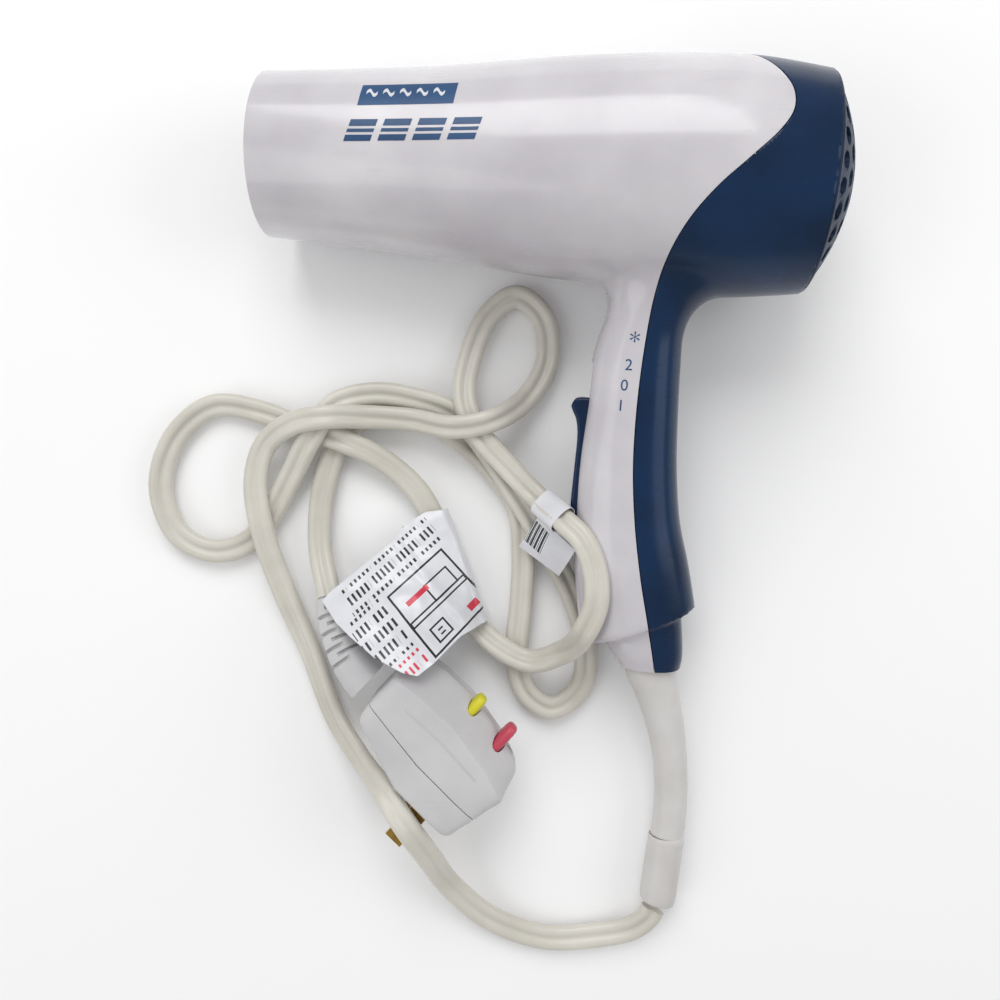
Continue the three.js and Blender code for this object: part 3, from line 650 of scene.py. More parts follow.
@dataclass
class InletGrille:
    """The domed navy cap with rings of round holes that the fan draws air through."""

    place: Placement
    apex: float = 184.7
    sphere: float = 52.0
    edge: float = 33.1
    skirt: float = 31.6
    rim: float = 1.6
    start: float = 173.8
    wall: float = 2.0
    hole_radius: float = 2.35
    drill_middle: float = 180.75
    drill_length: float = 18.5
    rings: Sequence[tuple[float, int]] = ((28, 25), (21.4, 19), (14.8, 13), (8.2, 7))

    def build(self) -> None:
        """Models the cap and drills it."""
        profile = [
            (self.start - 6, self.skirt), (self.start, self.edge), (self.start + 0.5, self.edge - 0.25),
            (self.start + 0.8, self.edge - 0.8),
        ]
        inner = np.linspace(self.edge - self.rim, 0, 22)
        centre = self.apex - self.sphere
        drop = self.start + 0.9 - (centre + math.sqrt(self.sphere**2 - (self.edge - self.rim) ** 2))
        for reach in inner:
            sunk = drop * (reach / self.edge) ** 6
            profile.append((centre + math.sqrt(self.sphere**2 - reach**2) + sunk, reach))
        spans = len(profile) - 1

        def place(share_a: float, share_b: float) -> Sequence[float]:
            x, reach = profile[round(share_b * spans)]
            angle = 2 * math.pi * share_a
            return (x, reach * math.cos(angle), reach * math.sin(angle))

        dome = grid_piece("inlet_dome", 120, spans, place)

        def close() -> None:
            bpy.ops.mesh.remove_doubles(threshold=1e-3)
            bpy.ops.mesh.normals_make_consistent(inside=False)

        in_edit(dome, close)
        if sum(face.normal.x for face in dome.data.polygons) < 0:
            in_edit(dome, lambda: bpy.ops.mesh.flip_normals())
        apply_modifier(dome, "SOLIDIFY", thickness=self.wall, offset=-1)
        drills = self._drills()
        apply_modifier(dome, "BOOLEAN", operation="DIFFERENCE", object=drills, solver="EXACT")
        bpy.data.objects.remove(drills)
        apply_modifier(
            dome, "BEVEL", width=0.22, segments=2, limit_method="ANGLE", angle_limit=math.radians(50))
        smooth_shading(dome, 40)
        settle(dome, self.place, Body.DRYER, "navy_shell", NAVY_CAP.material(), ["inlet_grille"])

    def _drills(self) -> bpy.types.Object:
        """One round bar, copied to every hole."""
        bars = []
        for ring, count in self.rings:
            for k in range(count):
                angle = 2 * math.pi * k / count
                bpy.ops.mesh.primitive_cylinder_add(
                    vertices=20, radius=self.hole_radius, depth=self.drill_length,
                    location=(self.drill_middle, ring * math.cos(angle), ring * math.sin(angle)),
                    rotation=(0, math.pi / 2, 0))
                bars.append(bpy.context.active_object)
        drills = join(bars)
        bpy.ops.object.transform_apply(location=True, rotation=True, scale=True)
        return drills


@dataclass
class HeatSwitch:
    """The navy sliding switch on the handle's front edge, with its flared nose."""

    place: Placement
    nose: Sequence[tuple[float, float]] = (
        (109.6, -71), (107.4, -71), (105.6, -71.7), (104.5, -73.9), (105.1, -75.6), (106.4, -78.2),
        (107.2, -83), (107.1, -93), (106.9, -108.4), (107.5, -112.4),
    )
    inner: float = 114.6
    half_width: float = 4.6

    def build(self) -> None:
        """Draws the nose out to its width and rounds its edges."""
        edge = [tuple(point) for point in smooth_line(self.nose, 4)]
        outline = [*edge, (self.inner, -112.4), (self.inner, -71)]
        button = slab("heat_switch_button", outline, -self.half_width, self.half_width)
        apply_modifier(
            button, "BEVEL", width=1.1, segments=4, limit_method="ANGLE", angle_limit=math.radians(40))
        smooth_shading(button, 45)
        settle(button, self.place, Body.SLIDE, "navy_shell", NAVY.material(), ["slide_button"])


@dataclass
class Prints:
    """Generic marks printed on the barrel and beside the heat switch."""

    place: Placement
    housing: Housing
    lift: float = 0.06
    badge: Sequence[tuple[float, float]] = ((34.9, 17.5), (64.0, 18.9), (63.4, 12.0), (34.4, 10.7))
    block_from: float = 31.2
    block_pitch: float = 10.3
    block_width: float = 8.2
    block_rise: float = 0.045
    block_bands: Sequence[tuple[float, float]] = ((-0.1, 1.7), (2.5, 3.5), (4.3, 6.3))
    lean: float = 0.3
    tilt: float = 0.3
    marks: Sequence[tuple[str, float, float, float]] = (
        ("*", 7.5, 121.0, -54.6), ("2", 5.0, 120.2, -61.2), ("0", 5.0, 119.4, -67.6),
        ("1", 5.0, 118.8, -74.0),
    )
    above: float = 40.0

    def build(self) -> None:
        """Prints the badge, the row of blocks and the four switch marks."""
        badge = self._quad("badge_panel", *self.badge, 0)
        settle(badge, self.place, Body.DRYER, "navy_shell", NAVY_INK.material())
        waves = [self._wave(36.6 + 5.1 * k, 14.3 + 0.22 * k, 3.4, 1.15) for k in range(5)]
        settle(self._joined("badge_waves", waves), self.place, Body.DRYER, "pearl_shell", PALE_INK.material())
        blocks = []
        for k in range(4):
            left = self.block_from + self.block_pitch * k
            right = left + self.block_width
            rise = self.block_rise * (left - 31)
            for low, high in self.block_bands:
                base, top = low + rise, high + rise
                blocks.append(self._quad(
                    "block", (left + self.lean * top, top), (right + self.lean * top, top + self.tilt),
                    (right + self.lean * base, base + self.tilt), (left + self.lean * base, base), 1))
        rows = self._joined("printed_blocks", blocks)
        settle(rows, self.place, Body.DRYER, "navy_shell", NAVY_INK.material())
        self._switch_marks()

    def _joined(self, name: str, parts: Sequence[bpy.types.Object]) -> bpy.types.Object:
        """Joins small marks into one named piece."""
        piece = join(parts)
        piece.name = piece.data.name = name
        return piece

    def _on_barrel(self, x: float, y: float, level: int) -> Point:
        """The place on the barrel under a point of the plan."""
        reach = self.housing.radius(x) + self.lift * (1 + level)
        return (x, y, math.sqrt(max(reach**2 - y**2, 0)))

    def _quad(
        self, name: str, a: Sequence[float], b: Sequence[float], c: Sequence[float], d: Sequence[float],
        level: int,
    ) -> bpy.types.Object:
        """A four-cornered film wrapped on the barrel."""
        corners = [Vector((*p, 0)) for p in (a, b, c, d)]

        def place(share_a: float, share_b: float) -> Point:
            top = corners[0].lerp(corners[1], share_a)
            low = corners[3].lerp(corners[2], share_a)
            spot = low.lerp(top, share_b)
            return self._on_barrel(spot.x, spot.y, level)

        return self._film(grid_piece(name, 24, 8, place))

    def _wave(self, x: float, y: float, length: float, height: float) -> bpy.types.Object:
        """A short wavy band wrapped on the barrel."""
        def place(share_a: float, share_b: float) -> Point:
            swing = 0.8 * math.sin(2 * math.pi * share_a)
            return self._on_barrel(x + length * share_a, y + height * share_b + swing, 1)

        return self._film(grid_piece("wave", 16, 2, place))

    def _film(self, film: bpy.types.Object) -> bpy.types.Object:
        """Gives a print its little thickness, facing out."""
        if sum(face.normal.z for face in film.data.polygons) < 0:
            in_edit(film, lambda: bpy.ops.mesh.flip_normals())
        apply_modifier(film, "SOLIDIFY", thickness=0.05, offset=-1)
        return film

    def _switch_marks(self) -> None:
        """A snowflake, a two, a nought and a one, from the top of the switch's travel down."""
        marks = []
        for k, (sign, size, x, y) in enumerate(self.marks):
            bpy.ops.object.select_all(action="DESELECT")
            bpy.ops.object.text_add()
            text = bpy.context.active_object
            text.data.body = sign
            text.data.size = size
            text.data.resolution_u = 4
            activate(text)
            bpy.ops.object.convert(target="MESH")
            mark = bpy.context.active_object
            mark.name = mark.data.name = f"switch_mark_{k + 1}"
            mark.data.transform(Matrix.Translation((x, y, self.above)))
            marks.append(mark)
        marks_piece = self._joined("switch_marks", marks)
        surface = copy_of(bpy.data.objects["front_shell"], "shell_for_marks")
        surface.parent = None
        surface.data.transform(self.place.matrix().inverted())
        apply_modifier(
            marks_piece, "SHRINKWRAP", target=surface, wrap_method="PROJECT", use_project_z=True,
            use_negative_direction=True, use_positive_direction=False, offset=self.lift)
        bpy.data.objects.remove(surface)
        settle(marks_piece, self.place, Body.DRYER, "navy_shell", NAVY_INK.material())


# ---------------------------------------------------------------- sleeve and free cord


def frames_along(line: np.ndarray) -> list[tuple[Vector, Vector, Vector]]:
    """Each point of a line, with its level sideways direction and the direction over it."""
    frames = []
    for i, point in enumerate(line):
        along = Vector(line[min(i + 1, len(line) - 1)] - line[max(i - 1, 0)]).normalized()
        side = UP.cross(along).normalized()
        frames.append((Vector(point), side, along.cross(side)))
    return frames


def tube_along(
    name: str, line: np.ndarray, halves: Sequence[tuple[float, float]], sides: int,
) -> bpy.types.Object:
    """A tube of changing size along a line, upright on its way."""
    return loft(name, [
        [point + side * a + over * b for a, b in rounded_ring(*half, TUBE_SQUARENESS, sides)]
        for (point, side, over), half in zip(frames_along(line), halves)
    ])


@dataclass
class Sleeve:
    """The bend-protection sleeve and the ferrule on its end, where the free cord comes out."""

    stations: Sequence[tuple[float, ...]] = (
        (35.7, -52.1, 13.3, 8.6, 7.8), (35.9, -55.1, 13.0, 8.7, 7.9), (38.4, -64.0, 11.8, 7.4, 7.2),
        (41.3, -74.7, 10.2, 6.5, 6.5), (43.3, -86.0, 8.6, 5.9, 6.0), (44.1, -98.0, 7.3, 5.7, 5.7),
        (43.7, -108.9, 6.6, 5.7, 5.7), (42.8, -115.6, 6.4, 5.7, 5.7),
    )
    ferrule: Sequence[tuple[float, ...]] = (
        (42.76, -115.7, 6.4, 5.6, 5.6), (42.75, -115.9, 6.4, 6.0, 6.0), (42.6, -116.8, 6.4, 6.3, 6.2),
        (42.4, -117.9, 6.35, 6.15, 6.15), (41.9, -121.5, 6.3, 6.2, 6.2), (40.6, -130.0, 6.3, 6.2, 6.2),
        (39.5, -137.4, 6.3, 6.1, 6.1), (39.3, -138.4, 6.2, 5.7, 5.7), (39.2, -138.9, 6.2, 5.1, 5.1),
    )

    def build(self) -> None:
        """Models the sleeve and the ferrule."""
        for name, stations, node in (
            ("cord_sleeve", self.stations, "strain_relief_sleeve"),
            ("cord_ferrule", self.ferrule, "sleeve_ferrule"),
        ):
            line = smooth_line(stations, 8)
            piece = tube_along(name, line[:, :3], [tuple(row[3:5]) for row in line], 48)
            apply_modifier(
                piece, "BEVEL", width=0.4, segments=2, limit_method="ANGLE", angle_limit=math.radians(60))
            smooth_shading(piece, 40)
            settle(piece, ON_TABLE, Body.DRYER, "sleeve_vinyl", SLEEVE_VINYL.material(), [node])


@dataclass
class FreeCord:
    """The flat two-conductor cord from the ferrule to the plug, in loose loops on the table."""

    width: float = 8.4
    thickness: float = 4.2
    web: float = 1.35
    rest: float = 0.12
    per_span: int = 8
    route: Sequence[Point] = (
        (38, -141.6, 6.1), (36.4, -144.7, 5.6), (30.8, -149.7, 3.6), (18.2, -152.6, 2.6),
        (0.5, -153.4, 2.4), (-18.3, -146.7, 3.2), (-32.2, -133, 8.7), (-39.8, -116.9, 21.5),
        (-47, -103.1, 29.5), (-54.3, -93.6, 25.5), (-64.5, -86.5, 10.8), (-73.8, -74.8, 3.6),
        (-82.1, -53.4, 2.4), (-92.4, -28.8, 4), (-98.7, -8.3, 7), (-101.3, 8.5, 5.6),
        (-97.8, 20.4, 6.4), (-87.3, 27.6, 12.5), (-75.3, 29.8, 14.2), (-62, 30.3, 9.1),
        (-46.5, 29.4, 8.2), (-31.9, 26.4, 14), (-18.9, 28.4, 14.8), (-6.8, 36.5, 6.8), (1.1, 50.3, 3.1),
        (-0.3, 66, 2.4), (-9.5, 73.5, 2.4), (-19.4, 67, 2.6), (-26.1, 51.5, 4.4), (-27.7, 36.2, 8.9),
        (-22.8, 24.6, 10.8), (-12.7, 12.9, 12), (-2.5, 2.2, 13.7), (5.2, -5.1, 26), (11.4, -11.5, 30),
        (15.1, -21.1, 31.5), (15.5, -32, 31.5), (11.7, -41.6, 30), (5.3, -50.7, 14.3),
        (-5.1, -54.6, 8.1), (-16.2, -49.6, 6.3), (-25.4, -40.9, 3.4), (-31.1, -27.6, 2.5),
        (-36.8, -10.9, 2.4), (-44.2, 4, 3), (-56, 14.9, 4.8), (-69.6, 21.9, 7.3), (-86.2, 27.3, 3.3),
        (-101.3, 33, 2.5), (-116.9, 34.8, 2.4), (-130, 24.5, 2.5), (-135.6, 6.8, 2.6),
        (-129.6, -10.2, 2.6), (-116.9, -16.6, 2.5), (-104.1, -13, 2.5), (-96.3, -2.8, 2.5),
        (-88.7, 10.3, 4.9), (-81.6, 22.3, 9.9), (-73.3, 34.6, 8.4), (-59.7, 38.6, 6.1),
        (-45.6, 36.9, 6), (-31.3, 31.7, 5.4), (-19.7, 18.3, 6.7), (-9.9, 3.6, 7.1), (0.3, -13.6, 5.9),
        (9.9, -32.1, 3.5), (14.6, -48.5, 2.6), (13.2, -64.4, 2.5), (2.9, -72.2, 2.6),
        (-6.3, -66.5, 2.6), (-9.5, -53.4, 2.4), (-8.1, -35.7, 2.4), (-7.3, -18, 2.4), (-9.1, -1.3, 2.4),
        (-18, 12.1, 2.4), (-31.5, 23.8, 2.4), (-45.6, 31.3, 2.4), (-60.9, 32.3, 2.4),
        (-71.9, 22.8, 2.4), (-78.2, 4.3, 2.5), (-78.9, -14.3, 4.5), (-74.5, -31.8, 9.8),
    )

    def build(self, on_it: Sequence[bpy.types.Object | str]) -> bpy.types.Object:
        """Draws the two-lobed section along the route, turning a little on its way.

        Args:
            on_it: The plug's pieces, the tag and the label. Not used.

        Returns:
            The cord.
        """
        line = smooth_line(self.route, self.per_span)
        lengths = np.concatenate([[0], np.cumsum(np.linalg.norm(np.diff(line, axis=0), axis=1))])
        turns = [self._turn(at, lengths[-1]) for at in lengths]
        for i, turn in enumerate(turns):
            half_height = math.hypot(self.width / 2 * math.sin(turn), self.thickness / 2 * math.cos(turn))
            line[i, 2] = max(line[i, 2], half_height + self.rest)
        section = self._section()
        rings = []
        for (point, side, over), turn in zip(frames_along(line), turns):
            cos, sin = math.cos(turn), math.sin(turn)
            flat, thin = side * cos + over * sin, over * cos - side * sin
            rings.append([point + flat * a + thin * b for a, b in section])
        cord = loft("flat_cord", rings)
        smooth_shading(cord, 42)
        settle(cord, ON_TABLE, Body.DRYER, "cord_vinyl", FLEX.material(), ["cord"])
        path = [tuple(point * MM) for point in line]
        length = sum(math.dist(a, b) for a, b in zip(path, path[1:]))
        LOG.info("the free cord is %.3f m long", length)
        return cord

    def _turn(self, at: float, whole: float) -> float:
        """How far the cord is turned about its own line at a distance along it, in radians."""
        ease = smoothstep(0, 40, at) * (1 - smoothstep(whole - 70, whole - 25, at))
        return ease * (0.3 * math.sin(at / 46 + 0.6) + 0.22 * math.sin(at / 19 + 2.0))

    def _section(self) -> list[tuple[float, float]]:
        """Two round conductors side by side with a web between them, as a ring of corners."""
        lobe = self.thickness / 2
        middle = self.width / 2 - lobe
        angles = [math.radians(a) for a in (0, 22, 45, 68, 90, 110, 128)]
        quarter = [(middle + lobe * math.cos(a), lobe * math.sin(a)) for a in angles]
        quarter.append((0.3, self.web))
        right = [*quarter, *[(-a, b) for a, b in reversed(quarter)]]
        return [*right[:-1], *[(-a, -b) for a, b in right[:-1]]]


# ---------------------------------------------------------------- plug


@dataclass
class TestPlug:
    """The leakage plug: two grey halves, a neck, a ribbed boot and its two buttons."""

    place: Placement
    wall_levels: Sequence[Point] = (
        (-19, 24.4, 14.2), (-18.7, 25.6, 15.4), (-18, 26.5, 16.2), (-16.8, 27.2, 16.5), (-12, 27.8, 16.8),
        (-8.5, 28.2, 16.95), (-8.2, 28.1, 16.85), (-8.1, 27.8, 16.6),
    )
    button_levels: Sequence[Point] = (
        (-7.9, 27.8, 16.6), (-7.8, 28.1, 16.85), (-7.5, 28.2, 16.95), (8.7, 28.3, 16.95),
        (9.1, 28.25, 16.75), (9.5, 28.2, 16.3), (17.3, 26.9, 7.6), (18.2, 26.5, 6.5), (18.8, 25.6, 5.4),
        (19, 24.6, 4.6),
    )
    squareness: float = 12.0
    sides: int = 120
    level_step: float = 0.7
    cord_end: float = 0.88
    wall_taper: float = 0.12
    wall_rise: float = 0.42
    bow: float = 140.0
    bow_middle: float = -6.0
    face_from: float = 12.0
    neck: Sequence[Point] = (
        (-20, 9.2, 10.6), (-27, 9.2, 10.5), (-29, 9.2, 10.2), (-35.4, 8.0, 8.6), (-36.4, 7.2, 7.8),
    )
    neck_squareness: float = 6.0
    neck_back: float = -3.0
    grip: Point = (1.9, -4.4, 7.7)
    grip_depth: float = 1.0
    grip_edge: float = 0.3
    boot_start: float = -29.6
    boot_reach: Point = (-28.6, 9.4, -6.6)
    boot_steps: int = 150
    boot_radius: float = 7.6
    boot_taper: float = 2.9
    slotted: tuple[float, float] = (0.28, 0.93)
    slot_pairs: int = 8
    slot_depth: float = 1.7
    pill_half: tuple[float, float] = (2.05, 4.35)
    pill_height: float = 5.2
    pill_foot: float = 10.3
    pill_tip: float = 21.5
    pill_room: float = 0.4
    test_at: float = 1.5
    reset_at: float = 15.5

    def build(self) -> list[bpy.types.Object]:
        """Models the plug and returns its pieces."""
        grey = PLUG_ABS.material()
        wall = self._half("plug_wall_shell", self.wall_levels)
        front = join([self._half("plug_button_shell", self.button_levels), self._neck()])
        front.name = front.data.name = "plug_button_shell"
        apply_modifier(
            wall, "BEVEL", width=0.35, segments=2, limit_method="ANGLE", angle_limit=math.radians(50))
        pieces = [
            settle(wall, self.place, Body.DRYER, "plug_plastic", grey, ["plug_wall_half"]),
            settle(self._drilled(front), self.place, Body.DRYER, "plug_plastic", grey, ["plug_button_half"]),
            settle(self._boot(), self.place, Body.DRYER, "plug_plastic", grey, ["plug_strain_relief"]),
        ]
        for body, x, slot, finish in (
            (Body.TEST, self.test_at, "yellow_plastic", YELLOW),
            (Body.RESET, self.reset_at, "red_plastic", RED),
        ):
            pill = self._pill(f"{body.value}_pill", x, 0)
            smooth_shading(pill, 50)
            pieces.append(settle(pill, self.place, body, slot, finish.material(), [body.value]))
        return pieces

    def _half(self, name: str, levels: Sequence[Point]) -> bpy.types.Object:
        """One half of the case through its levels, bowed and with the thumb rest pressed in."""
        fine: list[np.ndarray] = []
        for low, high in zip(levels, levels[1:]):
            steps = max(1, round((high[0] - low[0]) / self.level_step))
            fine += [np.array(low) + (np.array(high) - low) * k / steps for k in range(steps)]
        fine.append(np.array(levels[-1], float))
        rings = []
        for y, length, height in fine:
            ring = rounded_ring(height, length, self.squareness, self.sides)
            rings.append([self._shaped(x, y, z) for z, x in ring])
        half = loft(name, rings)
        smooth_shading(half, 20)
        return half

    def _shaped(self, x: float, y: float, z: float) -> Point:
        """Moves a point of the plain case to where the bowed case has it.

        The case is lower on its wall side towards the cord, and shorter at both ends.
        """
        near_cord = smoothstep(-4, 30, -x)
        x *= self.cord_end if x < 0 else 1 - self.wall_taper * smoothstep(-8, 19, -y)
        across = y * (1 - self.wall_rise * near_cord) if y < 0 else y
        across -= (x - self.bow_middle) ** 2 / self.bow * smoothstep(-4, 14, y)
        centre_x, centre_y, radius = self.grip
        away = math.hypot(x - centre_x, y - centre_y)
        pressed = 1 - smoothstep(radius - self.grip_edge, radius + self.grip_edge, away)
        if y < centre_y:
            beside = abs(x - centre_x)
            pressed = 1 - smoothstep(radius - self.grip_edge, radius + self.grip_edge, beside)
            pressed *= smoothstep(-17, centre_y, y)
        if abs(z) > self.face_from:
            z -= math.copysign(self.grip_depth * pressed, z)
        return (x, across, z)

    def _neck(self) -> bpy.types.Object:
        """The block that carries the boot, tapering from the case."""
        rings = []
        for x, half_y, half_z in self.neck:
            ring = rounded_ring(half_y, half_z, self.neck_squareness, 64)
            rings.append([(x, self.neck_back + y, z) for y, z in ring])
        neck = loft("neck", rings)
        smooth_shading(neck, 40)
        return neck

    def _drilled(self, case: bpy.types.Object) -> bpy.types.Object:
        """Sinks the two button holes."""
        tools = join([self._pill("hole", x, self.pill_room) for x in (self.test_at, self.reset_at)])
        apply_modifier(case, "BOOLEAN", operation="DIFFERENCE", object=tools, solver="EXACT")
        bpy.data.objects.remove(tools)
        smooth_shading(case, 20)
        return case

    def _pill(self, name: str, x: float, room: float) -> bpy.types.Object:
        """A flat-sided button with a rounded tip, or the hole that it works in."""
        half_x, half_z = self.pill_half
        ends = ((0, 1.0), (0.55, 1.0), (0.8, 0.97), (0.92, 0.88), (0.98, 0.72), (1.0, 0.5))
        rings = []
        for share, scale in ends:
            scale = 1.0 if room else scale
            y = self.pill_foot - 6 * room + share * (self.pill_tip - self.pill_foot + 9 * room)
            ring = rounded_ring(half_z * scale + room, half_x * scale + room, 2.6, 40)
            rings.append([(x + b, y, self.pill_height + a) for a, b in ring])
        return loft(name, rings)

    def _boot(self) -> bpy.types.Object:
        """The ribbed boot, bending down to where the cord comes in."""
        reach, across, drop = self.boot_reach
        rings = []
        for i in range(self.boot_steps + 1):
            share = i / self.boot_steps
            bend = share**2
            middle = Vector((self.boot_start + reach * share, self.neck_back + across * bend, drop * bend))
            along = Vector((reach, 2 * across * share, 2 * drop * share)).normalized()
            side = UP.cross(along).normalized()
            over = along.cross(side)
            radius = self.boot_radius - self.boot_taper * share
            ring = []
            for a, b in rounded_ring(1, 0.94, 2.2, 48):
                size = radius - self._rib_cut(share, math.atan2(b, a))
                ring.append(middle + side * a * size + over * b * size)
            rings.append(ring)
        boot = loft("plug_boot", rings)
        smooth_shading(boot, 35)
        return boot

    def _rib_cut(self, share: float, angle: float) -> float:
        """How deep the boot is slotted at a share of its length and an angle round it."""
        first, last = self.slotted
        if not first < share < last:
            return 0.0
        number, within = divmod((share - first) / (last - first) * self.slot_pairs, 1)
        slot = smoothstep(0.5, 0.56, within) * (1 - smoothstep(0.88, 0.94, within))
        turned = angle + (math.pi / 4 if int(number) % 2 else -math.pi / 4)
        open_part = 1 - smoothstep(0.78, 0.86, abs(math.sin(turned)))
        return self.slot_depth * slot * open_part


# ---------------------------------------------------------------- tag and label


def box_mask(
    tree: bpy.types.NodeTree, u: bpy.types.NodeSocket, v: bpy.types.NodeSocket,
    middle: tuple[float, float], half: tuple[float, float], line: float = 0.0,
) -> bpy.types.NodeSocket:
    """1 inside a box of the print, or only on its outline where a line width is given."""
    du = calc(tree, "SUBTRACT", calc(tree, "ABSOLUTE", calc(tree, "SUBTRACT", u, middle[0])), half[0])
    dv = calc(tree, "SUBTRACT", calc(tree, "ABSOLUTE", calc(tree, "SUBTRACT", v, middle[1])), half[1])
    away = calc(tree, "MAXIMUM", du, dv)
    if line:
        return calc(tree, "LESS_THAN", calc(tree, "ABSOLUTE", away), line / 2)
    return calc(tree, "LESS_THAN", away, 0.0)


@dataclass(frozen=True)
class Vinyl:
    """Printed silver-white vinyl film of the tag and the label, with generic bars for print."""

    name: str
    barcode: bool = False

    def material(self) -> bpy.types.Material:
        """Builds the film, with its print on the piece's own UV map in decimetres."""
        material, tree, shader = new_material(self.name)
        uv = add_node(tree, "ShaderNodeTexCoord").outputs["UV"]
        split = add_node(tree, "ShaderNodeSeparateXYZ", links={0: uv})
        u = calc(tree, "MULTIPLY", split.outputs[0], 100.0)
        v = calc(tree, "MULTIPLY", split.outputs[1], 100.0)
        black, red = self._barcode(tree, u, v) if self.barcode else self._notice(tree, u, v)
        place = add_node(tree, "ShaderNodeTexCoord").outputs["Object"]
        cloud = add_node(tree, "ShaderNodeTexNoise", {"Scale": 90.0, "Detail": 5.0}, {"Vector": place})
        film = add_node(
            tree, "ShaderNodeMixRGB", {"Color1": linear("#ecedf1"), "Color2": linear("#d3d4da")},
            {"Fac": cloud.outputs["Fac"]}).outputs[0]
        inked = add_node(
            tree, "ShaderNodeMixRGB", {"Color2": linear("#232326")},
            {"Fac": black, "Color1": film}).outputs[0]
        reddened = add_node(
            tree, "ShaderNodeMixRGB", {"Color2": linear("#d2384e")},
            {"Fac": red, "Color1": inked}).outputs[0]
        crease = add_node(tree, "ShaderNodeTexVoronoi", {"Scale": 130.0, "feature": "DISTANCE_TO_EDGE"},
                          {"Vector": place})
        bump = add_node(
            tree, "ShaderNodeBump", {"Strength": 0.35, "Distance": 0.3 * MM},
            {"Height": crease.outputs["Distance"]})
        shader.inputs["Roughness"].default_value = 0.34
        shader.inputs["Coat Weight"].default_value = 0.2
        tree.links.new(reddened, shader.inputs["Base Color"])
        tree.links.new(bump.outputs[0], shader.inputs["Normal"])
        return material

    def _rows(
        self, tree: bpy.types.NodeTree, u: bpy.types.NodeSocket, v: bpy.types.NodeSocket, pitch: float,
    ) -> bpy.types.NodeSocket:
        """Rows of upright dashes in groups."""
        row = calc(tree, "FLOOR", calc(tree, "DIVIDE", v, pitch))
        band = calc(tree, "LESS_THAN", calc(tree, "FRACT", calc(tree, "DIVIDE", v, pitch)), 0.62)
        shifted = calc(tree, "MULTIPLY_ADD", row, 3.37, u)
        dash = calc(tree, "LESS_THAN", calc(tree, "FRACT", calc(tree, "DIVIDE", shifted, 1.75)), 0.45)
        group = calc(tree, "LESS_THAN", calc(tree, "FRACT", calc(tree, "DIVIDE", shifted, 10.5)), 0.84)
        return calc(tree, "MULTIPLY", calc(tree, "MULTIPLY", band, dash), group)

    def _notice(
        self, tree: bpy.types.NodeTree, u: bpy.types.NodeSocket, v: bpy.types.NodeSocket,
    ) -> tuple[bpy.types.NodeSocket, bpy.types.NodeSocket]:
        """The tag's print: rows of black bars, a framed sign and a little red."""
        rows = self._rows(tree, u, v, 5.0)
        top = box_mask(tree, u, v, (25, 6.6), (19, 4.8))
        side = box_mask(tree, u, v, (9, 21.5), (6.4, 9.6))
        text = calc(tree, "MULTIPLY", rows, calc(tree, "MAXIMUM", top, side))
        lines = [
            box_mask(tree, u, v, (29.5, 26.4), (11.5, 12.4), 0.7),
            box_mask(tree, u, v, (24.2, 34.0), (2.6, 2.6), 0.6),
            box_mask(tree, u, v, (24.2, 33.4), (0.9, 0.3)),
            box_mask(tree, u, v, (24.2, 35.0), (0.9, 0.3)),
            box_mask(tree, u, v, (29.5, 26.6), (11.2, 0.9), 0.6),
            box_mask(tree, u, v, (33.5, 22.6), (4.6, 3.2), 0.6),
        ]
        for line in lines:
            text = calc(tree, "MAXIMUM", text, line)
        corner = box_mask(tree, u, v, (11.5, 36.6), (5, 4.2))
        words = calc(tree, "MULTIPLY", self._rows(tree, u, v, 4.4), corner)
        strip = box_mask(tree, u, v, (25.5, 20.2), (4.4, 0.9))
        wedge = box_mask(tree, u, v, (36.6, 35.6), (2.0, 1.3))
        return text, calc(tree, "MAXIMUM", words, calc(tree, "MAXIMUM", strip, wedge))

    def _barcode(
        self, tree: bpy.types.NodeTree, u: bpy.types.NodeSocket, v: bpy.types.NodeSocket,
    ) -> tuple[bpy.types.NodeSocket, bpy.types.NodeSocket]:
        """The label's print: a block of uneven bars, with nothing in red."""
        wide = calc(tree, "FRACT", calc(tree, "DIVIDE", u, 1.7))
        fine = calc(tree, "FRACT", calc(tree, "DIVIDE", u, 0.62))
        bars = calc(tree, "MAXIMUM", calc(tree, "LESS_THAN", wide, 0.4), calc(tree, "LESS_THAN", fine, 0.35))
        block = calc(tree, "MULTIPLY", bars, box_mask(tree, u, v, (4.6, 8.2), (3.9, 4.6)))
        return block, box_mask(tree, u, v, (-50, -50), (0.1, 0.1))


def set_uv(piece: bpy.types.Object, where: Callable[[Vector], tuple[float, float]]) -> None:
    """Gives each corner of a piece its place on the print, in decimetres."""
    layer = piece.data.uv_layers.active or piece.data.uv_layers.new(name="UVMap")
    for loop in piece.data.loops:
        layer.data[loop.index].uv = where(piece.data.vertices[loop.vertex_index].co)


def along_line(points: Sequence[Point], share: float) -> Vector:
    """The place at a share of a broken line's length."""
    spots = [Vector(p) for p in points]
    lengths = [0.0]
    for a, b in zip(spots, spots[1:]):
        lengths.append(lengths[-1] + (b - a).length)
    target = share * lengths[-1]
    for i in range(len(spots) - 1):
        if target <= lengths[i + 1] or i == len(spots) - 2:
            span = lengths[i + 1] - lengths[i]
            return spots[i].lerp(spots[i + 1], min(1.0, (target - lengths[i]) / span))
    return spots[-1]


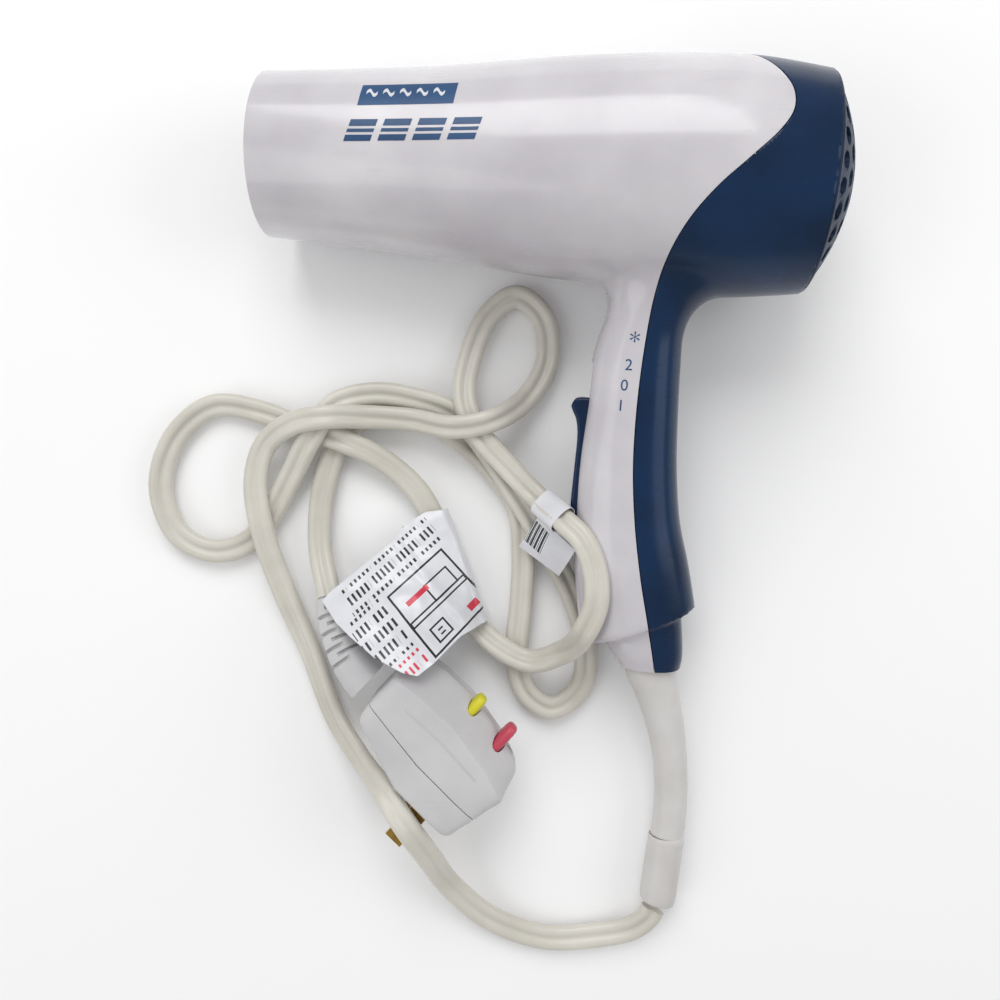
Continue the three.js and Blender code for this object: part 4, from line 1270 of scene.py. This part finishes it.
@dataclass
class NoticeTag:
    """The crumpled vinyl tag, folded round the cord at its right edge and lying over the plug."""

    top: Sequence[Point] = (
        (-75.7, -32.7, 17), (-73.3, -29.8, 15.5), (-51.6, -12, 9.5), (-48.5, -7.2, 8.8),
        (-41.6, -2.7, 7.8), (-35.6, -2, 7.6),
    )
    right: Sequence[Point] = (
        (-35.6, -2, 7.6), (-31.1, -14.1, 8.6), (-26.3, -27.7, 9), (-21.4, -41.2, 9.4),
    )
    bottom: Sequence[Point] = (
        (-41.8, -54.7, 34.6), (-37, -51.2, 32.5), (-28.6, -44.1, 20), (-21.4, -41.2, 9.4),
    )
    left: Sequence[Point] = (
        (-75.7, -32.7, 17), (-69.7, -39.2, 24), (-64.6, -42.7, 29), (-55.8, -48.8, 34.2),
        (-46.7, -53.6, 35), (-41.8, -54.7, 34.6),
    )
    flat: tuple[float, float] = (0.047, 0.068)
    film: float = 0.22
    lowest: float = 0.12
    flap: float = 16.0
    face: float = 0.78
    bend: float = 0.4
    bulge: float = 1.8
    outward: Point = (0.93, 0.37, 0)
    crumples: Sequence[tuple[float, float]] = ((9, 1.3), (4, 0.5))

    def build(self) -> bpy.types.Object:
        tag = grid_piece("notice_tag", 90, 60, self._place)
        set_uv(tag, self._print_place)
        apply_modifier(tag, "SOLIDIFY", thickness=self.film, offset=-1)
        smooth_shading(tag, 60)
        settle(tag, ON_TABLE, Body.DRYER, "tag_vinyl", Vinyl("printed_vinyl_tag").material(), ["warning_tag"])
        return tag

    def _patch(self, share_a: float, share_b: float) -> Vector:
        """The sheet's smooth middle, from its four edges."""
        top, bottom = along_line(self.top, share_a), along_line(self.bottom, share_a)
        left, right = along_line(self.left, share_b), along_line(self.right, share_b)
        corners = [Vector(p) for p in (self.top[0], self.top[-1], self.bottom[0], self.bottom[-1])]
        flat = corners[0].lerp(corners[1], share_a).lerp(corners[2].lerp(corners[3], share_a), share_b)
        return top.lerp(bottom, share_b) + left.lerp(right, share_a) - flat

    def _place(self, share_a: float, share_b: float) -> Sequence[float]:
        """A corner of the sheet: the face, then the fold under the cord."""
        down = 1 - share_b
        if share_a <= self.face:
            spot = self._patch(share_a / self.face, down)
            crumple = sum(noise.noise(spot / size) * height for size, height in self.crumples)
            ridge = max(0.0, 1 - abs(spot.x + spot.y * 0.9 + 63) / 3.0)
            spot.z += (crumple + 1.1 * ridge) * smoothstep(0, 0.12, share_a)
            return spot
        edge = self._patch(1, down)
        over = (share_a - self.face) / (1 - self.face)
        low = self.lowest + self.film
        half = (edge.z - low) / 2
        out = Vector(self.outward)
        if over < self.bend:
            angle = math.pi * over / self.bend
            return edge + out * self.bulge * math.sin(angle) - UP * half * (1 - math.cos(angle))
        back = edge - out * self.flap * (over - self.bend) / (1 - self.bend)
        return (back.x, back.y, low)

    def _print_place(self, spot: Vector) -> tuple[float, float]:
        """Where a point of the face lies on the print, along its rows and down them."""
        if spot.z < self.lowest + self.film + 0.6:
            return (-1.0, -1.0)
        from_corner = spot - Vector(self.top[0])
        return (
            (from_corner.x * 0.741 + from_corner.y * 0.671) / 100,
            (from_corner.x * 0.671 - from_corner.y * 0.741) / 100,
        )


@dataclass
class PriceLabel:
    """The small stuck label: a band round the cord and a flag with a bar pattern."""

    corners: Sequence[Point] = (
        (-8.8, -14.6, 6.8), (-2.2, -3.9, 14.2), (9.5, -15.2, 23.6), (4.8, -24.5, 12.6),
    )
    band_from: int = 32
    band_steps: int = 12
    band_span: tuple[int, int] = (14, 25)
    band_half: tuple[float, float] = (4.9, 2.8)
    band_squareness: float = 2.6
    band_sides: int = 28
    film: float = 0.16
    flat: tuple[float, float] = (0.021, 0.034)

    def build(self, cord: FreeCord) -> bpy.types.Object:
        """Args:
            cord: The cord that the band goes round.

        Returns:
            The label.
        """
        a, b, c, d = (Vector(p) for p in self.corners)

        def flag_place(share_a: float, share_b: float) -> Sequence[float]:
            spot = a.lerp(d, share_a).lerp(b.lerp(c, share_a), share_b)
            spot.z += 0.9 * math.sin(math.pi * share_b) - 0.5 * math.sin(math.pi * share_a)
            return spot

        flag = grid_piece("price_label_flag", 20, 20, flag_place)
        set_uv(flag, lambda spot: (
            (spot - a).dot((d - a).normalized()) / 100, (spot - a).dot((b - a).normalized()) / 100))
        near = cord.route[self.band_from - 1 : self.band_from + 3]
        line = smooth_line(near, self.band_steps)[slice(*self.band_span)]
        sides = self.band_sides
        section = rounded_ring(*self.band_half, self.band_squareness, sides)
        rings = [
            [point + side * p + over * q for p, q in section] for point, side, over in frames_along(line)
        ]
        spans = len(rings) - 1
        band = grid_piece(
            "price_label_band", sides, spans,
            lambda p, q: rings[round(q * spans)][round(p * sides) % sides])
        in_edit(band, lambda: bpy.ops.mesh.remove_doubles(threshold=1e-4))
        in_edit(band, lambda: bpy.ops.mesh.normals_make_consistent(inside=False))
        set_uv(band, lambda spot: (-1.0, -1.0))
        label = join([flag, band])
        label.name = label.data.name = "price_label_film"
        apply_modifier(label, "SOLIDIFY", thickness=self.film, offset=1)
        smooth_shading(label, 50)
        settle(
            label, ON_TABLE, Body.DRYER, "tag_vinyl", Vinyl("printed_label_film", barcode=True).material(),
            ["price_label"])
        return label


# ---------------------------------------------------------------- inner parts, table and studio


KEPT_FINISHES = {
    "pearl_shell": PEARL, "navy_shell": NAVY, "dark_grille": GUARD, "mica": MICA, "nichrome_wire": NICHROME,
    "zinc_steel": STEEL, "black_nylon": NYLON, "circuit_board": BOARD, "cord_vinyl": FLEX,
    "sleeve_vinyl": SLEEVE_VINYL, "plug_plastic": PLUG_ABS, "yellow_plastic": YELLOW, "red_plastic": RED,
    "brass_blade": BRASS, "tag_vinyl": PLUG_ABS,
}


def dress_kept_parts(nodes: dict[str, bpy.types.Object], record: dict) -> None:
    """Gives every CAD part that still shows the finish of its material slot."""
    for part in record["subparts"]:
        piece = nodes[part["node"]]
        if piece.hide_render:
            continue
        material = KEPT_FINISHES[part["material_slot"]].material()
        piece.data.materials.clear()
        piece.data.materials.append(material)
        LOG.info("%s keeps its CAD shape in %s", piece.name, material.name)


@dataclass
class Studio:
    """A pale table, broad soft lights and the camera straight above."""

    camera_place: Point = (-15.5, 1.5, 325.0)
    lens: float = 32.76
    sensor: float = 36.0
    table_size: float = 4.0

    def build(self, lowest: float) -> None:
        """Sets up the table, the lights and the camera.

        Args:
            lowest: The height that the object stands on, in metres.
        """
        bpy.ops.object.select_all(action="DESELECT")
        bpy.ops.mesh.primitive_plane_add(size=self.table_size, location=(0, 0, lowest - 0.0003))
        table = bpy.context.active_object
        table.name = "table"
        material, tree, shader = new_material("white_laminate")
        place = add_node(tree, "ShaderNodeTexCoord").outputs["Object"]
        haze = add_node(tree, "ShaderNodeTexNoise", {"Scale": 3.0, "Detail": 3.0}, {"Vector": place})
        tone = add_node(
            tree, "ShaderNodeMixRGB", {"Color1": linear("#fdfdfd"), "Color2": linear("#f8f8f9")},
            {"Fac": haze.outputs["Fac"]})
        tree.links.new(tone.outputs[0], shader.inputs["Base Color"])
        shader.inputs["Roughness"].default_value = 0.7
        table.data.materials.append(material)
        table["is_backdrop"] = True
        self._lights()
        self._camera()

    def _lights(self) -> None:
        """A bright room and three soft boxes, the strongest beyond the barrel."""
        world = bpy.data.worlds.new("studio")
        bpy.context.scene.world = world
        world.use_nodes = True
        background = world.node_tree.nodes["Background"]
        background.inputs["Color"].default_value = linear("#ffffff")
        background.inputs["Strength"].default_value = 0.52
        for name, place, aim, size, power in (
            ("key", (-0.15, 0.75, 0.85), (0, 0.05, 0), 0.7, 5.6),
            ("fill", (-0.9, -0.4, 0.8), (0, 0, 0), 0.9, 3.0),
            ("side", (0.8, 0.1, 0.6), (0, 0, 0), 0.6, 1.8),
        ):
            data = bpy.data.lights.new(name, "AREA")
            data.size = size
            data.energy = power
            light = bpy.data.objects.new(name, data)
            light.location = place
            light.rotation_euler = (Vector(aim) - Vector(place)).to_track_quat("-Z", "Y").to_euler()
            bpy.context.scene.collection.objects.link(light)
        bpy.context.scene.view_settings.view_transform = "Standard"

    def _camera(self) -> None:
        """The camera, looking straight down with the barrel at the top."""
        data = bpy.data.cameras.new("camera")
        data.lens, data.sensor_width = self.lens, self.sensor
        data.clip_start = 0.01
        camera = bpy.data.objects.new("camera", data)
        camera.location = Vector(self.camera_place) * MM
        bpy.context.scene.collection.objects.link(camera)
        bpy.context.scene.camera = camera


def main() -> None:
    """Builds the hair dryer round its frame and sets up the studio."""
    logging.basicConfig(level=logging.INFO, format="%(message)s")
    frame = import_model()
    cad_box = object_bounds()
    dryer = Placement((-90.4, 114.5, 25.6), pan=-4.75, pitch=4.68, roll=8.6)
    plug_place = Placement((-36.8, -78.1, 17), pan=-44)
    Studio().build(cad_box[0][2])

    plug = TestPlug(plug_place).build()
    free_cord = FreeCord()
    tag = NoticeTag().build()
    label = PriceLabel().build(free_cord)
    free_cord.build([*plug, "blade_narrow", "blade_wide", tag, label])

    housing = Housing(dryer)
    housing.build()
    InletGrille(dryer).build()
    HeatSwitch(dryer).build()
    Sleeve().build()
    Prints(dryer, housing).build()
    dress_kept_parts(frame["nodes"], frame["record"])


if __name__ == "__main__":
    main()
